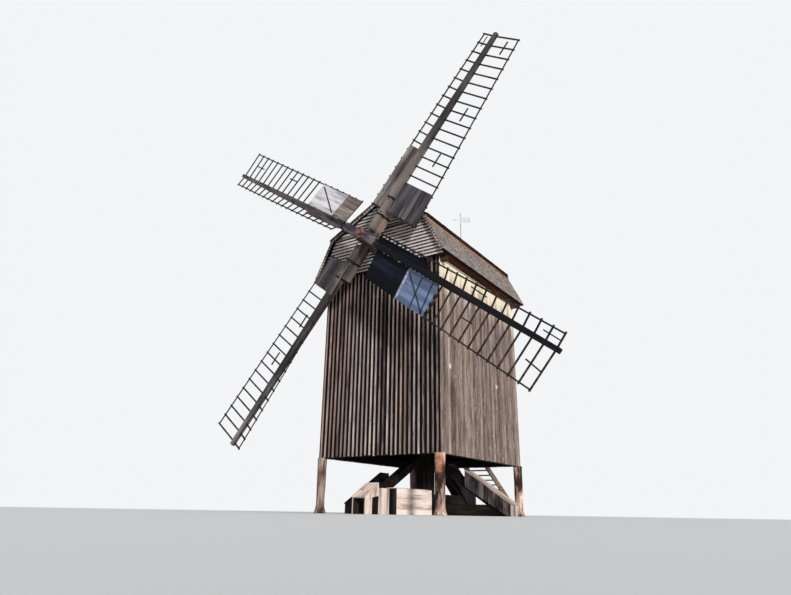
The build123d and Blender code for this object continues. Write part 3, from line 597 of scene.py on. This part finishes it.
# Eaves: the soffit is boarded lengthwise and stained dark red, and short bracket beams carry it at the
# body's corners.
soffit_wood = timber("soffit_boards", (34, 13, 11), (64, 26, 20), (98, 46, 36), turn=along_y)
seam = (abs(split(place_on(soffit_wood))[0]) / 0.11).reckon("FRACT")
wash(soffit_wood, seam.reckon("LESS_THAN", 0.09), (18, 9, 7))
dress(soffit_wood, "soffit")
dress(timber("bracket_wood", (36, 22, 18), (68, 44, 35), (100, 70, 56), turn=along_x, worn=0.01), "eave_brackets")


# Roof: split oak shingles, nailed in courses over a boarded roof of two slopes. The sun has bleached them
# silver, with brown and pinkish ones among them. Each course's lower ends are lighter, as bleaching and as
# painted sunlight, and a painted shadow lies close under the next course.
course = 0.145


def paint_course_light(material, bleached, bleach, shaded, shade, reach=0.55):
    """Lighten the shingles' lower ends, as bleaching and as painted sunlight on their butts, and paint the shadow
    that each course casts close under the next.
    """
    up_course = (split(carried(material, "lay", "Vector"))[2] / course).reckon("FRACT")
    wash(material, ramp(up_course, reach, reach - 0.4), bleached, bleach)
    wash(material, ramp(up_course, 0.68, 0.95), shaded, shade)


roof_shingle = planking("roof_shingles", (58, 51, 50), (130, 118, 113), (188, 176, 168), fibres=60,
                        patches=0.4, cracks=0.3, relief=0.003)
other_tone = (carried(roof_shingle, "tone") * 17.3).reckon("FRACT")
wash(roof_shingle, ramp(other_tone, 0.72, 0.8), (146, 116, 106), 0.3)
wash(roof_shingle, ramp(other_tone, 0.16, 0.1), (112, 96, 72), 0.4)
# Painted sunlight with bleaching on the shingles' butts, and painted shadow under each course
paint_course_light(roof_shingle, (198, 186, 178), 0.5, (36, 30, 28), 0.8)
shingle = dict(length=0.3, row=course, stagger=0.5, jitter=0.006, turn=0.02, wave=0)
on_roof = dict(shingle, thickness=0.013, gap=0.005, lift=0.016, tilt=0.055, ragged=0.006, uneven=0.006)
lower_run, lower_rise, knee_x, knee_z = 0.83, 1.67, 2.4, 11.4
eave_x, eave_z, upper_thickness = 2.51, 11.3432, 0.1013
lower_length = hypot(lower_run, lower_rise)
lower_shingles = []
upper_shingles = []
for sign, seed in ((1, 71), (-1, 72)):
    rise = Vector((-sign * lower_run, 0, lower_rise)) / lower_length
    lower_shingles.append(put(lay(roof_shingle, 8, lower_length - 0.04, 0.1, seed, **on_roof),
                              (sign * 3.24, 0, 9.715), (0, sign, 0), rise))
    slope = Vector((-sign * knee_x, 0, 1.24)).normalized()
    eave = Vector((sign * eave_x, 0, eave_z + upper_thickness))
    upper_shingles.append(put(lay(roof_shingle, 8, 2.83, 0.1, seed + 2, **on_roof),
                              eave - slope * 0.02, (0, sign, 0), slope))
settle("lower_shingles", lower_shingles, "root", "shingles")
settle("upper_shingles", upper_shingles, "root", "shingles")

# Along the verges narrow shingles cover the ends of the roof's dark boards. On each side a red-brown board and
# a pale one below it close the joint under the upper slope.
verge_shingles = []
for sign in (1, -1):
    for foot, knee, seed in (((3.23, 9.73), (knee_x, knee_z), 77), ((eave_x, eave_z), (0.02, 12.63), 83)):
        run = Vector((sign * (knee[0] - foot[0]), 0, knee[1] - foot[1]))
        rise = run.normalized()
        out = Vector((sign * rise.z, 0, abs(rise.x)))
        for end in (-1, 1):
            verge_shingles.append(put(
                lay(roof_shingle, 0.12, run.length, 0.12, seed, length=0.125, row=course, thickness=0.014, gap=0,
                    tilt=0.05, jitter=0.008, ragged=0.008, uneven=0.004, wave=0),
                Vector((sign * foot[0], end * 3.982, foot[1])) - out * 0.035, out * -sign * end, rise))
settle("verge_shingles", verge_shingles, "root", "shingles")
# The roof's boards are painted near black as the shade at the eaves' edges
roof_boards = timber("roof_boards", (12, 10, 9), (24, 20, 18), (44, 37, 33), turn=along_y)
dress(roof_boards, "roof_lower", "roof_upper_left", "roof_upper_right")
dress(timber("ridge_boards", (44, 37, 32), (84, 74, 66), (126, 114, 102), turn=along_y, worn=0.01), "ridge_cap")
closer_pale = planking("pale_closer", (150, 96, 66), (214, 158, 118), (240, 196, 156), cracks=0.3)
closer_red = planking("red_closer", (70, 34, 24), (124, 66, 46), (168, 100, 70), cracks=0.3)
closers = []
for sign, seed in ((1, 75), (-1, 76)):
    rise = Vector((-sign * lower_run, 0, lower_rise)) / lower_length
    out = Vector((sign * lower_rise, 0, lower_run)) / lower_length
    knee = Vector((sign * knee_x, sign * 3.97, knee_z)) + out * 0.022
    for down, strip_seed, closer_wood in ((0.21, seed, closer_pale), (0.13, seed + 2, closer_red)):
        closers.append(put(lay(closer_wood, 0.05, 7.94, 0.05, strip_seed, thickness=0.03, length=2.64, row=2.647),
                           knee - rise * down, rise, (0, -sign, 0)))
settle("roof_closers", closers, "root", "shingles")


# Gables: upright ends hung with the same shingles in level courses, darker than the roof. Their lower ends
# are lighter, as bleaching and as painted sunlight on the butts, with painted shadow close under each course.
# A narrow ledge board throws the rain off at the knee of the roof.
gable_shingle = planking("gable_shingles", (34, 28, 26), (84, 73, 66), (130, 117, 105), fibres=60,
                         patches=0.35, cracks=0.3, relief=0.003)
# Painted sunlight with bleaching on the butts, and painted shadow under each course
paint_course_light(gable_shingle, (236, 228, 226), 0.9, (10, 10, 13), 0.95, reach=0.68)
gable_fields = []
for sign, seed, shaft_hole in ((1, 81, 0.4), (-1, 82, 0)):
    gable_fields.append(put(
        lay(gable_shingle, 6.34, 2.9, 0.1, seed, **shingle, thickness=0.015, gap=0.006, lift=0.02, tilt=0.065,
            ragged=0.008, uneven=0.008, foot=3.15, foot_slope=-0.497, top=5.68, top_slope=-1.9354,
            hole_height=0.971, hole_radius=shaft_hole),
        (0, -sign * 3.8, 9.64), (sign, 0, 0)))
settle("gable_shingling", gable_fields, "root", "gable_shingles")
gable_backing = timber("gable_backing", (20, 16, 13), (38, 31, 26), (60, 50, 42), turn=along_x)
dress(gable_backing, "front_gable", "rear_gable")
dress(timber("ledge_board", (70, 60, 52), (120, 106, 92), (164, 150, 132), turn=along_x), "gable_ledge")


# Windshaft: an oak shaft with a square head that both stocks pass through. It turns in two hardwood blocks
# on beams across the body.
dress(timber("shaft_wood", (40, 32, 27), (84, 70, 58), (124, 106, 88), turn=along_y, worn=0.02), "windshaft")
# The shaft's beams take the same oak colours, painted nearly black as shade
dress(timber("shaft_beam_wood", *oak, turn=along_x), "shaft_beams")
dress(timber("bearing_wood", (50, 40, 30), (98, 80, 62), (140, 118, 92), turn=along_x), "shaft_bearings")


# Stocks: two squared softwood timbers that cross in the shaft's head, with a short cheek timber on the
# front one. They have weathered brown and silver.
stock_wood = ((46, 40, 36), (102, 91, 81), (150, 137, 122))
front_stock_turn, rear_stock_turn = (0, -125.9, 0), (0, -35.9, 0)
dress(timber("front_stock_wood", *stock_wood, turn=front_stock_turn, worn=0.015), "stock_front")
rear_stock_wood = timber("rear_stock_wood", *stock_wood, turn=rear_stock_turn, worn=0.015)
dress(rear_stock_wood, "stock_rear")
dress(timber("cheek_wood", (48, 43, 47), (96, 91, 97), (148, 140, 142), turn=front_stock_turn, patches=1,
             worn=0.015), "stock_cheek")


# Whips: tapered softwood poles lashed to the stocks with iron bands. They carry the sails' bars. The right
# one is painted nearly black as shade, and the bottom one is sooty in its inner half. The top one is dark at
# its tip and bleached at its root, as its stock is.

# The sails' shape: each arm's angle, the reach of its wide side at root and tip, its stock's depth and the
# reach of its leading boards
tilt = radians(5)
right = np.array([1.0, 0.0, 0.0])
up = np.array([0, sin(tilt), cos(tilt)])
back = np.array([0, cos(tilt), -sin(tilt)])
hub = np.array([0, -4.7, 10.69])
sails = {
    "right": (-37.2, 1.38, 1.45, 0, 0.43),
    "left": (145.4, 1.33, 1.36, 0, 0.36),
    "top": (54.1, 1.7, 1.27, 0.33, 0.555),
    "bottom": (-125.9, 1.5, 1.4, 0.33, 0.45),
}


def arm_ways(sail):
    """An arm's way out and the way to its wide side."""
    angle = radians(sails[sail][0])
    return right * cos(angle) + up * sin(angle), right * sin(angle) - up * cos(angle)


arm_grain, arm, arm_out = new_group("arm_grain", "ShaderNodeTree", {"Vector": ["Vector"]},
                                    {"Vector": ["Vector"], "Float": ["Front Arms"]})
from_hub = arm["Vector"] - tuple(hub)
front_way, front_wide = (tuple(way) for way in arm_ways("right"))
rear_way, rear_wide = (tuple(way) for way in arm_ways("top"))
on_front, off_front, on_rear, off_rear, in_shaft = (
    from_hub.reckon("DOT_PRODUCT", way) for way in (front_way, front_wide, rear_way, rear_wide, tuple(back)))
front_arms = abs(on_front).reckon("GREATER_THAN", abs(on_rear))
feed(arm_out["Front Arms"], front_arms)
feed(arm_out["Vector"], add(arm_grain, "ShaderNodeMix", {
    0: front_arms, 4: combine(off_rear, in_shaft, on_rear), 5: combine(off_front, in_shaft, on_front),
}, 1, data_type="VECTOR"))


def sail_timber(name, *colours, **finish):
    """A weathered wood whose grain follows the arm that it lies on, and a mask of the front arms."""
    material = timber(name, *colours, **finish)
    mapping = next(node for node in material.node_tree.nodes if node.type == "MAPPING").inputs["Vector"]
    arms = add(material.node_tree, "ShaderNodeGroup", {"Vector": Value(mapping.links[0].from_socket)}, "Vector",
               node_tree=arm_grain)
    feed(mapping, arms)
    return material, arms.beside("Front Arms")


def out_along(material, way):
    """How far out along an arm a point lies."""
    return (place_on(material) - tuple(hub)).reckon("DOT_PRODUCT", way)


whip_wood, on_front_arms = sail_timber("whip_timber", (38, 34, 34), (84, 78, 77), (134, 126, 121), worn=0.012)
to_top = out_along(whip_wood, rear_way)
# Painted shade: the right whip nearly black
wash(whip_wood, ramp(out_along(whip_wood, front_way), 0.8, 1.1) * on_front_arms, (15, 16, 22), 0.95)
wash(whip_wood, ramp(to_top, -1.9, -2.4) * ramp(to_top, -7.5, -6), (34, 29, 31), 0.65)
wash(whip_wood, ramp(to_top, 4.6, 7), (54, 49, 46), 0.6)
for wood, bleached in ((whip_wood, (160, 146, 136)), (rear_stock_wood, (200, 172, 148))):
    up_arm = out_along(wood, rear_way)
    wash(wood, ramp(up_arm, 0.35, 0.6) * ramp(up_arm, 4.6, 3.2), bleached, 0.5)
dress(whip_wood, "whips")


# Iron bands, forged and rusted, bind each whip to its stock. Bolts with hexagon heads go through the bands'
# fronts and through the whips between them.
dress(forged_iron, "sail_bands")

# Bolt heads in a row or a ring: a round washer under a hexagon
bolt_heads, bolt, bolts_out = new_group("bolt_heads", "GeometryNodeTree", {
    "Geometry": ["Geometry"], "Int": ["Count"], "Float": ["Spacing", "Ring", "Head", "Height"],
    "Material": ["Material"],
}, {"Geometry": ["Geometry"]})
bolt_number = add(bolt_heads, "GeometryNodeInputIndex")
bolt_angle = bolt_number * (2 * pi) / bolt["Count"]
in_row = bolt_number - (bolt["Count"] - 1) * 0.5
bolt_x = bolt_angle.reckon("COSINE") * bolt["Ring"] + in_row * bolt["Spacing"]
bolt_y = bolt_angle.reckon("SINE") * bolt["Ring"]
bolt_places = combine(bolt_x, bolt_y, 0)
bolt_points = add(bolt_heads, "GeometryNodePoints", {"Count": bolt["Count"], "Position": bolt_places})
bolt_parts = add(bolt_heads, "GeometryNodeJoinGeometry")
for sides, radius, height in ((14, 1.5, 0.3), (6, 1, 1)):
    drum_height = bolt["Height"] * height
    drum = add(bolt_heads, "GeometryNodeMeshCylinder",
               {"Vertices": sides, "Radius": bolt["Head"] * radius, "Depth": drum_height}, "Mesh")
    raised = combine(0, 0, drum_height * 0.5)
    feed(bolt_parts.socket.node.inputs[0], drum.then("Transform", {"Translation": raised}))
set_bolts = add(bolt_heads, "GeometryNodeInstanceOnPoints", {"Points": bolt_points, "Instance": bolt_parts})
feed(bolts_out["Geometry"], set_bolts.then("RealizeInstances").then("SetMaterial", {"Material": bolt["Material"]}))


def bolts(material, count, spacing=0, ring=0, head=0.022, height=0.02):
    """Bolt heads in a row by their spacing or in a ring by its radius, with the heads' radius and height."""
    return grow(bolt_heads, material, dict(count=count, spacing=spacing, ring=ring, head=head, height=height))


band_thickness, stock_front_face = 0.014, 0.41
band_bolts = []
for sail in sails:
    out, wide = arm_ways(sail)
    whip_front = hub + back * (sails[sail][3] - stock_front_face)
    for place in (1.13, 1.96):
        band_bolts.append(put(bolts(forged_iron, 2, spacing=0.2), whip_front - back * band_thickness + out * place,
                              wide, out))
    band_bolts.append(put(bolts(forged_iron, 2, spacing=0.62, head=0.026), whip_front + out * 1.55, out, -wide))
settle("band_bolts", band_bolts, "rotor", "band_iron")


# Nose: a round cast-iron plate, rusted, bolted to the cheek's front, with a raised ring, a boss and bolts
# round it. It is turned from one profile.
nose_iron = iron("nose_iron", (74, 52, 50), (142, 92, 84), 0.6)
nose_front = hub - back * stock_front_face
nose_profile = ((0, 0), (0.214, 0), (0.222, 0.008), (0.222, 0.026), (0.212, 0.034), (0.18, 0.035),
                (0.172, 0.052), (0.149, 0.06), (0.126, 0.052), (0.118, 0.036), (0.094, 0.036), (0.086, 0.074),
                (0.072, 0.088), (0.043, 0.094), (0.036, 0.104), (0, 0.108))
nose_steps = 40
nose_verts = [tuple(nose_front), tuple(nose_front - back * nose_profile[-1][1])]
nose_faces = []
for step in range(nose_steps):
    angle = 2 * pi * step / nose_steps
    for radius, height in nose_profile[1:-1]:
        nose_verts.append(tuple(nose_front + (right * cos(angle) + up * sin(angle)) * radius - back * height))
ring_length = len(nose_profile) - 2
for step in range(nose_steps):
    here = 2 + step * ring_length
    there = 2 + (step + 1) % nose_steps * ring_length
    nose_faces.append((0, there, here))
    nose_faces.append((1, here + ring_length - 1, there + ring_length - 1))
    for k in range(ring_length - 1):
        nose_faces.append((here + k, there + k, there + k + 1, here + k + 1))
nose_mesh = mesh_of("nose_plate", nose_verts, nose_faces, nose_iron)
nose_ring = put(bolts(nose_iron, 8, ring=0.195, head=0.012, height=0.018), nose_front - back * 0.034, right, up)
settle("nose_rosette", [nose_mesh, nose_ring], "rotor", "rusty_iron", "nose")


# Lattices: each sail's bars are let through the whip and turn with the sail's twist, and laths are nailed
# along their ends. The wood is dark from oil and weather.
lattice_wood = sail_timber("lattice_wood", (22, 19, 19), (46, 40, 38), (84, 74, 68), worn=0.006)[0]
for sail in sails:
    dress(lattice_wood, f"lattice_{sail}")


# Sail boards: thin softwood boards run along the arm on the front of the bars beside the whip. The fixed
# ones are brown on the left sail and grey on the top and bottom ones. The right one's are painted nearly black
# as shade.
sail_root, sail_tip, bar_half = 1.35, 9.905, 0.0165


def weather(side, r):
    """How far the sail is turned out of its plane at a distance from the hub."""
    share = (r - sail_root) / (sail_tip - sail_root)
    return np.radians(12 - 11 * share if side > 0 else 42 - 34 * share)


def whip_section(sail, r):
    """The whip's width and depth there, and its middle's place along the shaft."""
    taper = np.clip((r - 2.25) / 7.8, 0, 1)
    depth = 0.26 - 0.11 * taper
    middle = depth / 2 - stock_front_face if sail in ("top", "bottom") else -depth / 2 - 0.15
    return 0.3 - 0.13 * taper, depth, middle


def on_sail(sail, side, across, r, proud):
    """Points on a sail: across from the whip's middle, out along the arm, and proud of the bars' middle."""
    across, r, proud = (np.asarray(value, float)[:, None] for value in (across, r, proud))
    out, wide = arm_ways(sail)
    turn = weather(side, r)
    middle = whip_section(sail, r)[2]
    along = (wide * np.cos(turn) + back * np.sin(turn)) * side
    front = wide * np.sin(turn) - back * np.cos(turn)
    return hub + back * (sails[sail][3] + middle) + out * r + along * across + front * proud


def sail_edges(sail, side, r):
    """Where the boards beside the whip begin and end across the sail, and how proud of the bars they lie."""
    lean, square = np.sin(weather(side, r)), np.cos(weather(side, r))
    width, depth, middle = whip_section(sail, r)
    if side < 0:
        rest = np.maximum(bar_half, depth / 2 * square - width / 2 * lean + 0.002)
        return (width / 2 + rest * lean) / square - 0.03, sails[sail][4] + 0 * r, rest
    share = (r - sail_root) / (sail_tip - sail_root)
    root, tip = sails[sail][1:3]
    return (width / 2 + 0.016 + 0.0385 * lean) / square, root + (tip - root) * share + 0.025, bar_half + 0 * r


def sail_panel(sail, side, first, last, material, seed, board_width=0.2):
    """A twisted panel of boards beside the whip."""
    def onto(flat):
        r = first + flat[:, 1]
        near, far, rest = sail_edges(sail, side, r)
        share = flat[:, 0] / width + 0.5
        if side < 0:
            share = 1 - share
        return on_sail(sail, side, near + (far - near) * share, r, rest + 0.0025 + flat[:, 2])

    near, far = sail_edges(sail, side, (first + last) / 2)[:2]
    width = round((far - near) / board_width) * board_width
    rows = lay(material, width, last - first, board_width, seed, thickness=0.019, ragged=0.006, uneven=0.003,
               cuts=14, **unvaried)
    return bend_to(rows, onto)


brown_boards = planking("brown_sail_boards", (84, 74, 70), (124, 112, 107), (158, 145, 138), patches=0.4)
grey_boards = planking("grey_sail_boards", (46, 42, 44), (74, 69, 73), (104, 98, 102), patches=0.4)
# Painted shade: the right sail's boards nearly black
shadow_boards = planking("dark_sail_boards", (8, 9, 14), (15, 17, 26), (32, 36, 50), patches=0.4)
settle("fixed_sail_boards", [
    sail_panel("left", 1, 1.25, 2.23, brown_boards, 91),
    sail_panel("right", 1, 1.25, 3.18, shadow_boards, 92),
    sail_panel("top", 1, 1.4, 2.8, grey_boards, 93),
    sail_panel("bottom", 1, 1.4, 2.75, grey_boards, 94),
], "rotor", "sail_boards", "sail_boards")


# Shutters: loose panels of boards beyond the fixed ones. The left one is bleached almost white, and the right
# one is painted blue-grey as the sky-lit shade that it lies in. Ledges and diagonal braces are nailed across
# them, and one more ledge across the root of the left sail's fixed boards.
ledge_wood = sail_timber("ledge_wood", (24, 22, 24), (48, 46, 50), (86, 82, 84))[0]


def sail_strip(sail, side, start, end, width, low, thickness, material=ledge_wood):
    """A thin bar on the sail's front from one place, given across and out, to another."""
    run = np.subtract(end, start)
    length = hypot(*run)
    aside = np.array([run[1], -run[0]]) * side / length

    def onto(flat):
        across, r = np.add(start, flat[:, 1:2] * run / length + flat[:, :1] * aside).T
        return on_sail(sail, side, across, r, low + flat[:, 2])

    return bend_to(lay(material, width, length, width, 1, thickness=thickness, cuts=9, uneven=0, **unvaried), onto)


white_boards = planking("white_shutter_boards", (158, 153, 154), (200, 196, 199), (224, 221, 224), patches=0.9,
                        cracks=0.5)
# Painted sky-lit shade: the right shutter's blue-grey
skyshade_boards = planking("blue_shutter_boards", (88, 100, 126), (106, 121, 152), (126, 144, 176), patches=0.3)
pale_ledge = sail_timber("pale_ledge_wood", (110, 114, 122), (158, 164, 172), (200, 204, 210))[0]
settle("shutter_panels", [
    sail_panel("left", 1, 2.25, 4.09, white_boards, 95),
    sail_panel("right", 1, 3.2, 4.85, skyshade_boards, 96),
], "rotor", "shutter_boards", "sail_shutters")
on_boards, on_ledges = 0.036, 0.056
settle("shutter_ledges", [sail_strip(sail, 1, *strip) for sail, *strip in (
    ("left", (1.22, 3.93), (0.26, 2.34), 0.05, on_boards, 0.02),
    ("right", (0.22, 3.99), (1.4, 4.12), 0.045, on_boards, 0.02),
    ("right", (0.22, 4.56), (1.4, 4.7), 0.045, on_boards, 0.02),
    ("right", (0.28, 3.3), (1.34, 4.76), 0.03, on_ledges, 0.015),
    ("right", (0.22, 3.26), (1.4, 3.29), 0.1, on_boards, 0.02, pale_ledge),
    ("left", (1.343, 2.27), (1.349, 4.07), 0.03, on_boards, 0.014),
    ("left", (0.2, 1.27), (1.34, 1.27), 0.035, on_boards, 0.014),
)], "rotor", "shutter_boards")


# Cleats: short strips of the same dark wood as the ledges, nailed to the front of the bars. They tie the
# last bars of three sails together near the tips, and two bars halfway along the right sail.
on_bars = 0.016
settle("tip_cleats", [sail_strip(*strip) for strip in (
    ("right", 1, (0.74, 9.24), (0.82, 9.88), 0.05, on_bars, 0.04),
    ("right", -1, (0.31, 9.24), (0.29, 9.88), 0.04, on_bars, 0.04),
    ("right", -1, (0.39, 6.16), (0.33, 6.9), 0.035, on_bars, 0.04),
    ("left", 1, (0.76, 8.71), (0.76, 9.37), 0.05, on_bars, 0.04),
    ("top", -1, (0.3, 9.3), (0.3, 9.8), 0.03, on_bars, 0.03),
)], "rotor", "lattice_wood")


# Leading boards: narrow softwood boards nailed to the bars on the steep side of each arm. The bottom sail's
# are brown, the top and left sails' grey, and the right sail's painted nearly black as shade.
leading_wood = planking("top_leading_boards", (60, 54, 53), (110, 101, 100), (156, 146, 143), patches=0.6)
settle("leading_sail_boards", [
    sail_panel(sail, -1, first, last, wood, seed, board_width=0.17) for sail, first, last, wood, seed in (
        ("left", 1.25, 3.65, grey_boards, 97), ("right", 1.25, 4.08, shadow_boards, 98),
        ("top", 1.4, 4.26, leading_wood, 99), ("bottom", 1.4, 2.75, brown_boards, 100))
], "rotor", "leading_boards", "leading_boards")


# Weather vane: an iron rod that stands on the ridge, and a plate flag painted white that turns on it with
# its ball.
dress(iron("vane_rod_iron", (70, 70, 72), (96, 74, 58), 0.3), "vane_rod")
dress(iron("vane_paint", (206, 211, 215), (176, 158, 140), 0.12, painted=True), "vane_flag")


# Studio: a pale floor, one large soft key light from the right, low and a little in front, an even pale
# surround, and the camera near the ground, looking up at the mill's front right corner.
floor_finish, floor_shader = new_finish("studio_floor")
feed(floor_shader["Base Color"], (0.8, 0.8, 0.8, 1))
feed(floor_shader["Roughness"], 0.9)
floor_half = 400
studio_floor = stand("studio_floor", mesh_of(
    "floor", [(x * floor_half, y * floor_half, 0) for x, y in ((-1, -1), (1, -1), (1, 1), (-1, 1))],
    [(0, 1, 2, 3)], floor_finish))

key = bpy.data.lights.new("key", "SUN")
key.energy = 2.6
key.angle = radians(9)
key_light = stand("key", key)
key_height, key_aside = radians(18), radians(35)
to_key = Vector((cos(key_height) * cos(key_aside), -cos(key_height) * sin(key_aside), sin(key_height)))
key_light.rotation_euler = to_key.to_track_quat("Z", "Y").to_euler()

world = bpy.data.worlds.new("surround")
scene.world = world
world.use_nodes = True
even = world.node_tree.nodes["Background"]
feed(even.inputs["Color"], (0.95, 0.97, 1, 1))
feed(even.inputs["Strength"], 0.45)
seen = add(world.node_tree, "ShaderNodeBackground", {"Color": (0.9, 0.91, 0.92, 1)})
seen_rays = add(world.node_tree, "ShaderNodeLightPath", out="Is Camera Ray")
for rays in ("Is Glossy Ray", "Is Transmission Ray"):
    seen_rays = seen_rays.reckon("MAXIMUM", add(world.node_tree, "ShaderNodeLightPath", out=rays))
feed(world.node_tree.nodes["World Output"].inputs["Surface"],
     add(world.node_tree, "ShaderNodeMixShader", {0: seen_rays, 1: Value(even.outputs[0]), 2: seen}))

yaw, pitch, roll = radians(34.0791), radians(19.6707), radians(0.94)
camera_place = (13.6653, -22.6191, 0.0575)
lens = bpy.data.cameras.new("camera")
lens.lens = 27.44
lens.sensor_width = 36
lens.clip_end = 1000
camera = stand("camera", lens)
camera.matrix_world = (Matrix.Translation(camera_place) @ Matrix.Rotation(yaw, 4, "Z")
                       @ Matrix.Rotation(pi / 2 + pitch, 4, "X") @ Matrix.Rotation(roll, 4, "Z"))
scene.camera = camera
scene.view_settings.view_transform = "Standard"
